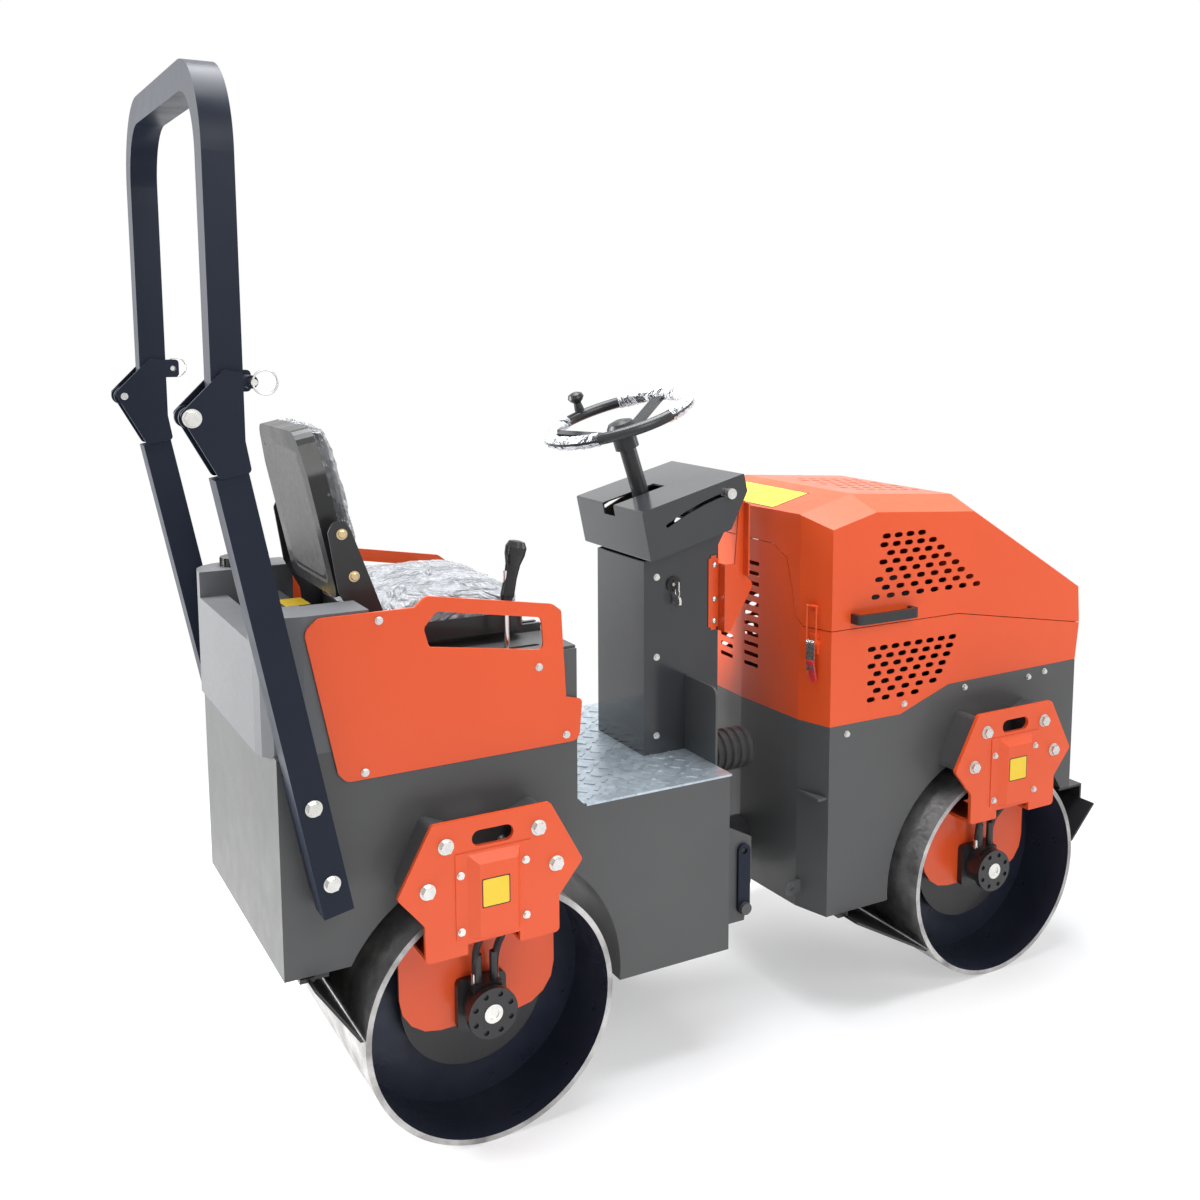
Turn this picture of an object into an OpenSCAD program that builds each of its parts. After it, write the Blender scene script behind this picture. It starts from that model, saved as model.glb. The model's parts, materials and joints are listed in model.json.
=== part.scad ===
// Ride-on double-drum roller with a folding roll bar and an articulated steering joint.
// X runs forward, Y to the left and Z up; the origin is under the middle of the machine.

/* [Drums] */
// Distance between the two drum axles
wheelbase = 1440; // [1400:10:1500]
// Outer diameter of each drum
drum_od = 560; // [550:5:570]
// Width of each drum
drum_w = 780; // [770:5:800]
// Wall of the drum shell
drum_wall = 12; // [8:1:16]
// Radial space between the drums and the frame arches
arch_gap = 50; // [44:1:54]

/* [Frame] */
// Width over the side panels
frame_w = 670; // [660:5:676]
// Thickness of the frame plates
panel_t = 6; // [4:0.5:8]
// Height of the frame's belly above the ground
belly_z = 247; // [240:1:255]
// Height of the frame's lower edge outside the two axles
tail_z = 441; // [430:1:450]
// Height of the foot floor
floor_z = 675; // [665:1:690]
// Length of the foot floor
floor_len = 399; // [380:1:410]
// Reach of the rear panel behind the rear axle
rear_reach = 422; // [415:1:440]
// Reach of the front panel ahead of the front axle
front_reach = 323; // [318:1:340]
// Height of the seat box
box_z = 1040; // [1030:1:1060]

/* [Water tank] */
// Top of the water tank
tank_z = 1170; // [1160:1:1190]
// Height of the tank's lower edge
tank_low_z = 890; // [880:1:900]
// Radius of the tank's rear corners
tank_r = 80; // [60:1:90]
// Wall of the moulded tank
tank_wall = 8; // [6:0.5:10]

/* [Roll bar] */
// Width of the post tube
post_w = 60; // [56:1:62]
// Backward lean of the posts in degrees
post_lean = 11; // [10:0.5:12]
// Height of the roll bar's top
bar_z = 2205; // [2150:5:2260]
// Centre-line radius of the roll bar's bends
bar_bend = 150; // [120:5:170]
// Height of the fold pivot
pivot_z = 1564; // [1550:1:1580]

/* [Console] */
// Width of the console tower
console_w = 240; // [230:1:250]
// Depth of the console tower
console_d = 212; // [205:1:215]
// Width of the dash cover
dash_w = 340; // [320:1:350]
// Outer diameter of the steering wheel
wheel_od = 376; // [350:2:390]
// Height of the middle of the steering wheel
wheel_z = 1500; // [1480:1:1510]

/* [Seat] */
// Width of the seat cushion
cushion_w = 440; // [420:1:445]
// Width of the backrest
back_w = 350; // [335:1:365]
// Backward lean of the backrest in degrees
back_lean = 12; // [9:1:15]
// Length of the drive lever's grip
grip_len = 130; // [120:1:140]

/* [Hood] */
// Height of the roof crease
roof_z = 1305; // [1290:1:1315]
// Height of the seam at the rear
seam_z = 985; // [975:1:995]
// Height of the seam at the front
nose_seam_z = 910; // [900:1:920]
// Thickness of the hood sheet
hood_t = 3; // [2:0.5:4]

/* [Hidden] */
$fn = 48;
arc_steps = 4;
cut = 1;
fit = 0.3;
joint_gap = 0.5;
shaft_gap = 0.05;
sheet_t = 4;

// Overall layout
axle_x = wheelbase / 2;
axle_z = drum_od / 2;
half_w = frame_w / 2;
arch_r = axle_z + arch_gap;
rear_x = -axle_x - rear_reach;
front_x = axle_x + front_reach;
seat_front_ahead = 224;
seat_front_x = -axle_x + seat_front_ahead;
floor_front_x = seat_front_x + floor_len;
panel_top_z = box_z - panel_t;
steer_x = 50;
nose_reach = 49;
nose_x = front_x + nose_reach;

// Helpers

function unit(v) = v / norm(v);

// Arc that rounds one corner of an outline
function corner_arc(before, at, after, r) =
  r <= 0 ? [at] :
  let (
    u = unit(before - at),
    v = unit(after - at),
    half = acos(u * v) / 2,
    centre = at + unit(u + v) * r / sin(half),
    first = at + u * r / tan(half) - centre,
    last = at + v * r / tan(half) - centre,
    start = atan2(first.y, first.x),
    turn = (atan2(last.y, last.x) - start + 540) % 360 - 180
  )
  [for (s = [0 : arc_steps])
    centre + r * [cos(start + turn * s / arc_steps), sin(start + turn * s / arc_steps)]];

// Outline with its corners rounded, by one radius or by a list of radii
function rounded(points, radii) =
  let (count = len(points))
  [for (i = [0 : count - 1])
    each corner_arc(points[(i + count - 1) % count], points[i], points[(i + 1) % count],
      is_list(radii) ? radii[i] : radii)];

// Outline moved inward by t, for points that run anticlockwise
function inset(points, t) =
  let (count = len(points))
  [for (i = [0 : count - 1])
    let (
      e = unit(points[i] - points[(i + count - 1) % count]),
      f = unit(points[(i + 1) % count] - points[i]),
      n = [-e.y, e.x],
      m = [-f.y, f.x]
    )
    points[i] + t * (n + m) / (1 + n * m)];

function box_outline(x0, x1, y0, y1) = [[x0, y0], [x1, y0], [x1, y1], [x0, y1]];

// Moves a shape from the wheelbase frame to the part's frame
module placed() {
  translate([mid_x, 0, 0]) children();
}

module both_sides() {
  children();
  mirror([0, 1, 0]) children();
}

// Outline in X and Z, solid from y to y + t
module slab_y(y, t) {
  translate([0, y + t, 0]) rotate([90, 0, 0]) linear_extrude(t) children();
}

// Outline in Y and Z, solid from x to x + t
module slab_x(x, t) {
  translate([x, 0, 0]) rotate([90, 0, 90]) linear_extrude(t) children();
}

// Outline in X and Y, solid from z to z + t
module slab_z(z, t) {
  translate([0, 0, z]) linear_extrude(t) children();
}

module rod_x(d, x0, x1) {
  translate([x0, 0, 0]) rotate([0, 90, 0]) cylinder(d = d, h = x1 - x0);
}

module rod_y(d, y0, y1) {
  translate([0, y1, 0]) rotate([90, 0, 0]) cylinder(d = d, h = y1 - y0);
}

module rod_z(d, z0, z1) {
  translate([0, 0, z0]) cylinder(d = d, h = z1 - z0);
}

module block(x0, x1, y0, y1, z0, z1) {
  translate([x0, y0, z0]) cube([x1 - x0, y1 - y0, z1 - z0]);
}

// Hexagon head with a washer on a face at y that looks towards -Y
module bolt_out(size, y) {
  washer_t = size / 8;
  head_t = size * 0.6;
  rod_y(size * 2.1, y - washer_t, y);
  translate([0, y - washer_t, 0]) rotate([90, 0, 0]) cylinder(d = size * 1.7, h = head_t, $fn = 6);
}

// Rear frame

arm_slant = 25;
arm_x = 124;
arm_z = 648;
arm_l = 150;
arm_w = 66;
arm_r = 14;
arm_t = 8;
rim_gap = 24;
plate_shift = 14;
plate_t = 10;
arm_end = drum_w / 2 + rim_gap;

// One frame side: belly, arch and step, seen from the side about the drum axle
module side_outline(points, x) {
  difference() {
    polygon(points);
    translate([x, axle_z]) circle(r = arch_r);
  }
}

// Box arms that reach out over the drum rim to the support plates
module support_arms(x) {
  for (side = [-1, 1])
    translate([x + side * arm_x, 0, arm_z])
      rotate([0, -side * arm_slant, 0])
        slab_y(-arm_end, arm_end - half_w + panel_t / 2)
          difference() {
            polygon(rounded(box_outline(-arm_w / 2, arm_w / 2, -arm_l / 2, arm_l / 2), arm_r));
            polygon(rounded(box_outline(-arm_w / 2 + arm_t, arm_w / 2 - arm_t,
              -arm_l / 2 + arm_t, arm_l / 2 - arm_t), arm_r - arm_t));
          }
}

// Curved fender plate over a drum, from the tail to the belly
module fender(x, back_z, ahead_z, ahead) {
  intersection() {
    translate([x, 0, axle_z])
      difference() {
        rod_y(2 * (arch_r + panel_t), -half_w + panel_t, half_w - panel_t);
        rod_y(2 * arch_r, -half_w, half_w);
      }
    union() {
      block(x - ahead * 2 * arch_r, x, -half_w, half_w, back_z, axle_z + 2 * arch_r);
      block(x, x + 2 * arch_r, -half_w, half_w, ahead_z, axle_z + 2 * arch_r);
    }
  }
}

rear_chamfer = 22;
tank_depth = 190;
tank_front_x = rear_x + tank_depth;
tank_step = 4;
tank_seat_z = tank_low_z + tank_step;
tab_w = 29;
tab_z = 923;
tab_h = 100;
tab_reach = 24;

module rear_frame() {
  outline = [[rear_x, tail_z], [-axle_x, tail_z], [-axle_x, belly_z], [floor_front_x, belly_z],
    [floor_front_x, floor_z], [seat_front_x + rear_chamfer, floor_z],
    [seat_front_x, floor_z + rear_chamfer], [seat_front_x, panel_top_z],
    [tank_front_x, panel_top_z], [tank_front_x, tank_seat_z], [rear_x, tank_seat_z]];
  color("dimgray")
    placed() {
      both_sides() {
        slab_y(-half_w, panel_t) side_outline(outline, -axle_x);
        support_arms(-axle_x - plate_shift);
      }
      block(rear_x, rear_x + panel_t, -half_w + panel_t, half_w - panel_t, tail_z, tank_seat_z);
      block(seat_front_x - panel_t, seat_front_x, -half_w + panel_t, half_w - panel_t,
        floor_z - panel_t, box_z - 2 * panel_t);
      // Front plate, with a round opening for the steering ram
      difference() {
        block(floor_front_x - panel_t, floor_front_x, -half_w + panel_t, half_w - panel_t,
          belly_z, floor_z - panel_t);
        translate([0, ram_foot.y + (floor_front_x - ram_foot.x) * tan(ram_angle), yoke_z])
          rod_x(ram_hole_d, floor_front_x - 2 * panel_t, floor_front_x + panel_t);
      }
      fender(-axle_x, tail_z, belly_z, 1);
      // Tabs at the front edge of the seat box
      both_sides()
        block(seat_front_x - tab_w, seat_front_x, -half_w + panel_t, -half_w + tab_reach,
          tab_z, tab_z + tab_h);
    }
}

tread_t = 5;
tread_w = 8;
tread_l = 26;
tread_h = 1.5;
tread_pitch = 38;

// Galvanised floor with raised tread bars
module floor_plate() {
  rows = floor(frame_w / tread_pitch) - 1;
  columns = floor((floor_len - rear_chamfer) / tread_pitch) - 1;
  color("lightsteelblue")
    placed()
      difference() {
        union() {
          block(seat_front_x + joint_gap, floor_front_x + panel_t, -half_w, half_w,
            floor_z, floor_z + tread_t);
          for (i = [0 : columns], j = [0 : rows])
            translate([seat_front_x + rear_chamfer + tread_pitch * (i + 0.7),
              -half_w + tread_pitch * (j + 0.9), floor_z + tread_t - tread_h])
              rotate([0, 0, (i + j) % 2 == 0 ? 45 : -45])
                translate([-tread_l / 2, -tread_w / 2, 0])
                  cube([tread_l, tread_w, 2 * tread_h]);
        }
        // The tower stands on the frame through the floor
        block(console_rear_x - joint_gap, console_front_x, -console_w / 2 - joint_gap,
          console_w / 2 + joint_gap, floor_z - cut, floor_z + tread_t + 2 * tread_h);
        both_sides()
          block(seat_front_x, seat_front_x + rear_chamfer + joint_gap, -half_w - cut,
            -half_w + panel_t + joint_gap, floor_z - cut, floor_z + tread_t + 2 * tread_h);
      }
}

toe_x = floor_front_x + panel_t;
toe_y0 = 120;
toe_y1 = 262;
toe_top = 868;
toe_r = 20;

// Upright boards on both sides of the tower, folded from the front of the floor
module toe_board() {
  color("dimgray")
    placed() {
      both_sides()
        slab_x(toe_x, panel_t)
          polygon(rounded([[-toe_y1, floor_z - toe_r], [-toe_y0 - joint_gap, floor_z - toe_r],
            [-toe_y0 - joint_gap, toe_top], [-toe_y1, toe_top]], [0, 0, 0, toe_r]));
      block(floor_front_x, toe_x + panel_t, -toe_y1, toe_y1, floor_z - 2 * toe_r, floor_z - toe_r);
    }
}

deck_z = 1110;
deck_len = 489;
deck_step_x = seat_front_x - deck_len;
deck_back = 82;
deck_rear_x = rear_x + deck_back;
slot_x = -637;
slot_y = -285;
slot_l = 150;
slot_w = 16;

// Seat box lid with a raised rear deck, the lever slot and the lever's pivot under it
module seat_deck() {
  inner_w = half_w - panel_t - joint_gap;
  color("black")
    placed() {
      translate([slot_x, slot_y, lever_pivot_z])
        rod_y(lever_pin_d, -ball_d / 2 - sheet_t - joint_gap, ball_d / 2 + sheet_t + joint_gap);
      for (y = [slot_y - ball_d / 2 - sheet_t - joint_gap, slot_y + ball_d / 2 + joint_gap])
        block(slot_x - ball_d / 2, slot_x + ball_d / 2, y, y + sheet_t,
          lever_pivot_z - ball_d / 2, box_z - panel_t);
      difference() {
        slab_y(-inner_w, 2 * inner_w)
          polygon([[deck_rear_x, deck_z - panel_t], [deck_step_x - panel_t, deck_z - panel_t],
            [deck_step_x - panel_t, box_z - panel_t], [seat_front_x, box_z - panel_t],
            [seat_front_x, box_z], [deck_step_x, box_z], [deck_step_x, deck_z],
            [deck_rear_x, deck_z]]);
        // The tank's side arms stand where the deck stops
        both_sides()
          block(deck_rear_x - cut, tank_front_x + joint_gap, -half_w, -tank_arm_y + joint_gap,
            box_z - panel_t - cut, deck_z + cut);
        slab_z(box_z - panel_t - cut, panel_t + 2 * cut)
          translate([slot_x, slot_y])
            polygon(rounded(box_outline(-slot_l / 2, slot_l / 2, -slot_w / 2, slot_w / 2),
              slot_w / 2 - fit));
      }
    }
}

tank_reach = 21;
tank_arm_y = 235;
tank_saddle_z = 1112;
tank_tray_z = 1058;
tank_rear_t = 60;
ridge_w = 30;
neck_ahead = 78;
neck_x = rear_x + neck_ahead;
neck_y = 286;
neck_d = 62;

// U-shaped plan of the tank, moved inward by t
module tank_plan(t, arms) {
  arm_front = arms ? tank_front_x : tank_rear_face + tank_reach + tank_rear_t + 2 * tank_wall;
  offset_r = tank_r - t;
  polygon(rounded([[tank_rear_face + t, -half_w + t], [arm_front - t, -half_w + t],
    [arm_front - t, -tank_arm_y - t], [deck_rear_x - joint_gap - t, -tank_arm_y - t],
    [deck_rear_x - joint_gap - t, tank_arm_y + t], [arm_front - t, tank_arm_y + t],
    [arm_front - t, half_w - t], [tank_rear_face + t, half_w - t]],
    [offset_r, 0, 0, 0, 0, 0, 0, offset_r]));
}

tank_rear_face = rear_x - tank_reach;

// Moulded water tank that wraps round the rear of the seat box
module rear_water_tank() {
  color("gray")
    placed()
      difference() {
        slab_z(tank_low_z, tank_z - tank_low_z) tank_plan(0, true);
        // Saddle behind the seat with a low ridge across it
        difference() {
          block(tank_rear_face + tank_rear_t, deck_rear_x, -tank_arm_y + tank_wall,
            tank_arm_y - tank_wall, tank_tray_z, tank_z + cut);
          block(deck_rear_x - 2 * ridge_w, deck_rear_x - ridge_w, -tank_arm_y, tank_arm_y,
            tank_tray_z - cut, tank_tray_z + ridge_w);
        }
        block(tank_rear_face - cut, deck_rear_x, -tank_arm_y + tank_wall,
          tank_arm_y - tank_wall, tank_saddle_z, tank_z + cut);
        // Water space and the filler neck
        slab_z(tank_seat_z + tank_wall, tank_tray_z - tank_wall - tank_seat_z - tank_wall)
          tank_plan(tank_wall + tank_reach, true);
        translate([neck_x, neck_y, 0]) rod_z(neck_d, tank_tray_z - 2 * tank_wall, tank_z + cut);
        // Rebate that hooks over the frame's rear panel
        block(rear_x - joint_gap, rear_x + panel_t + joint_gap, -half_w - cut, half_w + cut,
          tank_low_z - cut, tank_seat_z);
        both_sides()
          block(rear_x - joint_gap, tank_front_x + cut, -half_w - cut, -half_w + panel_t + joint_gap,
            tank_low_z - cut, tank_seat_z);
      }
}

cap_d = 78;
cap_h = 20;
cap_ribs = 12;

module tank_cap() {
  color("black")
    placed()
      translate([neck_x, neck_y, 0]) {
        rod_z(cap_d, tank_z + fit, tank_z + cap_h);
        rod_z(neck_d - 2 * joint_gap, tank_z - cap_h, tank_z + cap_h / 2);
        for (i = [0 : cap_ribs - 1])
          rotate([0, 0, i * 360 / cap_ribs])
            translate([cap_d / 2, 0, 0]) rod_z(cap_h / 4, tank_z + fit, tank_z + cap_h);
      }
}

guard_t = 6;
guard_r = 20;
hand_r = 12;
guard_size = [596, 358];
guard_ahead = 10;
guard_drop = 212;
guard_foot = [seat_front_x + guard_ahead, box_z - guard_drop];
guard_shares = [[-0.903, 0.053], [-0.874, 0], [-0.013, 0.008], [0, 0.263], [-0.065, 0.291],
  [-0.082, 0.824], [-0.116, 0.869], [-0.589, 1], [-0.626, 0.941], [-0.956, 0.939], [-1, 0.869]];
guard_r_shares = [1, 1, 1, 0.5, 0, 0.5, 1, 1, 0.5, 1, 1];
hand_shares = [[-0.579, 0.704], [-0.151, 0.598], [-0.161, 0.796], [-0.552, 0.905], [-0.597, 0.816]];

// Places given as shares of a size, from a corner
function spread(shares, size, corner) = [for (s = shares) corner + [s.x * size.x, s.y * size.y]];

// Hip guard with a hand hole
module guard() {
  slab_y(-half_w - guard_t, guard_t)
    difference() {
      polygon(rounded(spread(guard_shares, guard_size, guard_foot), guard_r * guard_r_shares));
      polygon(rounded(spread(hand_shares, guard_size, guard_foot), hand_r));
    }
}

module side_guard_right() {
  color("orangered") placed() guard();
}

module side_guard_left() {
  color("orangered") placed() mirror([0, 1, 0]) guard();
}

// Roll bar

pad_t = 15;
post_y0 = half_w + pad_t;
post_t = 4;
post_back = 330;
post_low_z = 592;
post_foot = [-axle_x - post_back, post_low_z];
post_len = 880;
pad_z = [40, 282];
post_bolt_z = [66, 226];
bracket_t = 6;
bar_w = 56;
bar_t = 4;
bar_y = post_y0 + post_w / 2;
bar_back = 500;
bar_x = -axle_x - bar_back;
pivot_back = 564;
pivot_x = -axle_x - pivot_back;
ear_r = 20;
mid_x = -(pivot_x - ear_r + nose_x) / 2;
pivot_d = 16;
bar_foot_z = 1490;
bracket_size = [120, 197];
bracket_back = 584;
bracket_low_z = 1453;
bracket_corner = [-axle_x - bracket_back, bracket_low_z];
bracket_shares = [[0.53, 0], [1, 0.051], [0.892, 0.437], [0.925, 0.962], [0.642, 0.993], [0, 0.6]];
bracket_r = 8;
lug_size = [44, 40];
pin_z = 1625;
pin_ahead = 15;
pin_x = bar_x + bar_w / 2 + pin_ahead;
pin_d = 12;
pin_hole = pin_d + 2 * fit;
housing_d = 24;
housing_l = 50;
pin_out = 22;
ring_d = 48;
ring_t = 4;

module post_place(y) {
  translate([post_foot.x, y, post_foot.y]) rotate([0, -post_lean, 0]) children();
}

// Leaning posts with the pads that carry them
module roll_bar_posts() {
  color("darkslategray")
    placed()
      both_sides() {
        difference() {
          post_place(-post_y0 - post_w) translate([-post_w / 2, 0, 0]) cube([post_w, post_w, post_len]);
          post_place(-post_y0 - post_w)
            translate([-post_w / 2 + post_t, post_t, -cut])
              cube([post_w - 2 * post_t, post_w - 2 * post_t, post_len - post_t + cut]);
          for (z = post_bolt_z)
            post_place(0) translate([0, 0, z]) rod_y(pivot_d, -post_y0 - post_w - cut, -post_y0 + cut);
        }
        difference() {
          post_place(-post_y0) translate([-post_w / 2, -post_t / 2, pad_z[0]])
            cube([post_w, pad_t + post_t / 2, pad_z[1] - pad_z[0]]);
          for (z = post_bolt_z)
            post_place(0) translate([0, 0, z]) rod_y(pivot_d, -post_y0 - post_t, -half_w + cut);
        }
      }
}

// Cheek plates on both faces of each post; the inner one carries the lock lug
module roll_bar_brackets() {
  cheek = rounded(spread(bracket_shares, bracket_size, bracket_corner), bracket_r);
  color("darkslategray")
    placed()
      both_sides() {
        difference() {
          slab_y(-post_y0 - post_w - bracket_t, bracket_t) polygon(cheek);
          translate([pivot_x, 0, pivot_z]) rod_y(pivot_d, -post_y0 - 2 * post_w, 0);
        }
        difference() {
          slab_y(-post_y0, bracket_t)
            union() {
              polygon(cheek);
              polygon(rounded(box_outline(pin_x + pin_d - lug_size.x, pin_x + pin_d,
                pin_z - lug_size.y / 2, pin_z + lug_size.y / 2), [0, bracket_r, bracket_r, 0]));
            }
          translate([pivot_x, 0, pivot_z]) rod_y(pivot_d, -post_y0 - 2 * post_w, 0);
          translate([pin_x, 0, pin_z]) rod_y(pin_hole, -post_y0 - cut, 0);
        }
      }
}

ear_t = 8;

// Square frame of the tube's section, outlined about its middle
module bar_section(hollow) {
  difference() {
    square(bar_w, center = true);
    if (hollow) square(bar_w - 2 * bar_t, center = true);
  }
}

// Hoop that folds back about the pivots, with its ears and the lock pin housings
module roll_bar_hoop() {
  top = bar_z - bar_w / 2;
  color("darkslategray")
    placed() {
      both_sides() {
        difference() {
          union() {
            translate([bar_x, -bar_y, bar_foot_z])
              linear_extrude(top - bar_bend - bar_foot_z) bar_section(true);
            translate([bar_x, -bar_y + bar_bend, top - bar_bend])
              rotate([0, -90, 0]) rotate([0, 0, -90])
                rotate_extrude(angle = 90) translate([bar_bend, 0]) bar_section(true);
          }
          // Slot that clears the ears
          block(bar_x - bar_w / 2 - cut, bar_x - bar_w / 2 + bar_t, -bar_y - bar_w / 2 + bar_t,
            -bar_y + bar_w / 2 - bar_t, pivot_z - ear_r, pivot_z + ear_r);
        }
        for (y = [-bar_y - bar_w / 2 + bar_t, -bar_y + bar_w / 2 - bar_t - ear_t])
          difference() {
            slab_y(y, ear_t)
              union() {
                translate([pivot_x, pivot_z]) circle(r = ear_r);
                translate([pivot_x, pivot_z - ear_r])
                  square([bar_x - pivot_x, 2 * ear_r]);
              }
            translate([pivot_x, 0, pivot_z]) rod_y(pivot_d + 2 * shaft_gap, y - cut, y + ear_t + cut);
          }
        // Housing of the lock pin
        translate([pin_x, 0, pin_z])
          difference() {
            union() {
              rod_y(housing_d, -bar_y - housing_l / 2, -bar_y + housing_l / 2);
              block(bar_x + bar_w / 2 - pin_x, 0, -bar_y - housing_l / 2, -bar_y + housing_l / 2,
                -housing_d / 4, housing_d / 4);
            }
            rod_y(pin_d + 2 * shaft_gap, -bar_y - housing_l, -bar_y + housing_l);
          }
      }
      translate([bar_x, -bar_y + bar_bend, top])
        rotate([-90, 0, 0]) linear_extrude(2 * (bar_y - bar_bend)) bar_section(true);
    }
}

// Lock pin with its pull ring
module lock_pin() {
  inner_end = -post_y0 - bracket_t / 3;
  outer_end = -bar_y - housing_l / 2 - pin_out;
  translate([pin_x, 0, pin_z]) {
    rod_y(pin_d, outer_end, inner_end);
    translate([ring_d / 2 - ring_t, outer_end + ring_t, 0])
      rotate([90, 0, 0])
        rotate_extrude() translate([ring_d / 2 - ring_t / 2, 0]) circle(d = ring_t);
  }
}

module lock_pin_right() {
  color("silver") placed() lock_pin();
}

module lock_pin_left() {
  color("silver") placed() mirror([0, 1, 0]) lock_pin();
}

// Console

console_ahead = 102;
console_front_x = floor_front_x + console_ahead;
console_rear_x = console_front_x - console_d;
tower_rear_z = 1160;
tower_front_z = 1214;
hinge_ahead = 15;
hinge_x = console_front_x + hinge_ahead;
hinge_z = 1230;
hinge_d = 6;
knuckle_d = 14;
knuckle_l = 50;
tower_outline = [[console_rear_x, floor_z], [console_front_x, floor_z], [console_front_x, tower_front_z],
  [console_rear_x, tower_rear_z]];
key_back = 131;
key_x = console_front_x - key_back;
key_z = 1100;
key_hole = 26;
column_d = 42;
tower_bolt_back = 177;
tower_bolt_x = console_front_x - tower_bolt_back;
tower_bolts = [1121, 923, 726];

// Hollow tower with a hinge pin at its upper front edge
module console_tower() {
  color("darkslategray")
    placed() {
      difference() {
        slab_y(-console_w / 2, console_w) polygon(tower_outline);
        slab_y(-console_w / 2 + sheet_t, console_w - 2 * sheet_t)
          polygon([[console_rear_x + sheet_t, floor_z - cut], [console_front_x - sheet_t, floor_z - cut],
            [console_front_x - sheet_t, tower_front_z + panel_t],
            [console_rear_x + sheet_t, tower_rear_z + panel_t]]);
        translate([key_x, 0, key_z]) rod_y(key_hole, -console_w / 2 - cut, -console_w / 2 + sheet_t + cut);
      }
      // Cross plate that carries the steering column
      block(console_rear_x + sheet_t, console_front_x - sheet_t, -console_w / 2 + sheet_t,
        console_w / 2 - sheet_t, column_seat_z - panel_t, column_seat_z);
      // Ears and pin of the dash hinge
      translate([hinge_x, 0, hinge_z]) rod_y(hinge_d, -console_w / 2, console_w / 2);
      both_sides()
        slab_y(-console_w / 2, sheet_t)
          polygon(rounded([[console_front_x - sheet_t, tower_front_z - 2 * knuckle_d],
            [console_front_x, tower_front_z - 2 * knuckle_d],
            [hinge_x + hinge_d, hinge_z - hinge_d], [hinge_x + hinge_d, hinge_z + hinge_d],
            [hinge_x - hinge_d, hinge_z + hinge_d], [console_front_x - sheet_t, tower_front_z]],
            [0, 0, 4, 4, 4, 0] * hinge_d / knuckle_d));
    }
}

leaf_t = 4;
leaf_out = 30;
leaf_y = -console_w / 2 - leaf_out;
leaf_size = [88, 332];
leaf_foot = [console_front_x, 970];
leaf_shares = [[0, 0], [0.2, 0], [0.92, 0.32], [0.92, 0.36], [0.66, 0.42], [0.66, 0.97], [0.6, 1],
  [0.45, 0.9], [0.33, 0.51], [0, 0.51]];
strip_w = 22;
strip_r = 6;

// Bracket on the tower's front edge: flange, leaf and a hooked strip along the leaf
module console_bracket() {
  color("orangered")
    placed() {
      slab_y(leaf_y, leaf_t) polygon(rounded(spread(leaf_shares, leaf_size, leaf_foot),
        [0, 4, 4, 4, 0, 4, 4, 4, 0, 0] * strip_r / 6));
      block(console_front_x, console_front_x + leaf_t, leaf_y, -console_w / 2 + strip_w,
        leaf_foot.y, leaf_foot.y + leaf_size.y * leaf_shares[9].y);
      translate([console_front_x + leaf_size.x * leaf_shares[4].x - leaf_t, leaf_y,
        leaf_foot.y + leaf_size.y * leaf_shares[4].y])
        slab_x(0, leaf_t)
          polygon(rounded(box_outline(-strip_w, leaf_t, 0, leaf_size.y * (leaf_shares[5].y - leaf_shares[4].y)),
            [strip_r, 0, 0, strip_r]));
    }
}

key_body_l = 40;
bezel_d = 38;
bezel_t = 5;

module ignition_switch() {
  color("silver")
    placed()
      translate([key_x, 0, key_z])
        difference() {
          union() {
            rod_y(bezel_d, -console_w / 2 - bezel_t, -console_w / 2);
            rod_y(key_hole - 2 * fit, -console_w / 2 - cut, -console_w / 2 + key_body_l);
          }
          rod_y(key_bore, -console_w / 2 - bezel_t - cut, -console_w / 2 + key_body_l / 2);
        }
}

key_bore = 10;
key_blade = key_bore - 2 * shaft_gap;
key_bow = [24, 20];
key_t = 3;
fob_d = 30;

// Key with its bow, ring and fob
module ignition_key() {
  bow_y = -console_w / 2 - bezel_t - fit - key_bow.x;
  color("gold")
    placed()
      translate([key_x, 0, key_z]) {
        rod_y(key_blade, bow_y + key_bow.x - cut, -console_w / 2 + key_body_l / 2 - cut);
        slab_x(-key_t / 2, key_t)
          polygon(rounded(box_outline(bow_y, bow_y + key_bow.x, -key_bow.y / 2, key_bow.y / 2), key_t));
        translate([0, bow_y + key_bow.x / 3, -key_bow.y / 2 - fob_d / 4])
          rotate([0, 90, 0]) rotate_extrude() translate([fob_d / 3, 0]) circle(d = key_t);
        translate([0, bow_y + key_bow.x / 3, -key_bow.y / 2 - fob_d * 13 / 12 + key_t])
          rod_x(fob_d, -key_t, key_t);
      }
}

dash_size = [303, 201];
dash_back = 34;
dash_low_z = 1169;
dash_foot = [console_rear_x - dash_back, dash_low_z];
dash_shares = [[0.083, 0], [0.828, 0.303], [0.98, 0.761], [0.947, 0.98], [0, 0.602]];
slot_half_w = 28;
slot_low_z = 1262;
dash_opening = 34;
slot_reach = 112;
slot_front_x = console_rear_x + slot_reach;
side_slot_w = 9;
side_slot_shares = [[0.234, 0.418], [0.406, 0.552], [0.574, 0.657], [0.7, 0.72], [0.8, 0.752]];

// Strip of even width along a line of points
module strip(points, w) {
  for (i = [0 : len(points) - 2]) {
    run = points[i + 1] - points[i];
    translate(points[i]) rotate(atan2(run.y, run.x)) translate([0, -w / 2]) square([norm(run), w]);
  }
  for (p = points) translate(p) circle(d = w);
}

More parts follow.
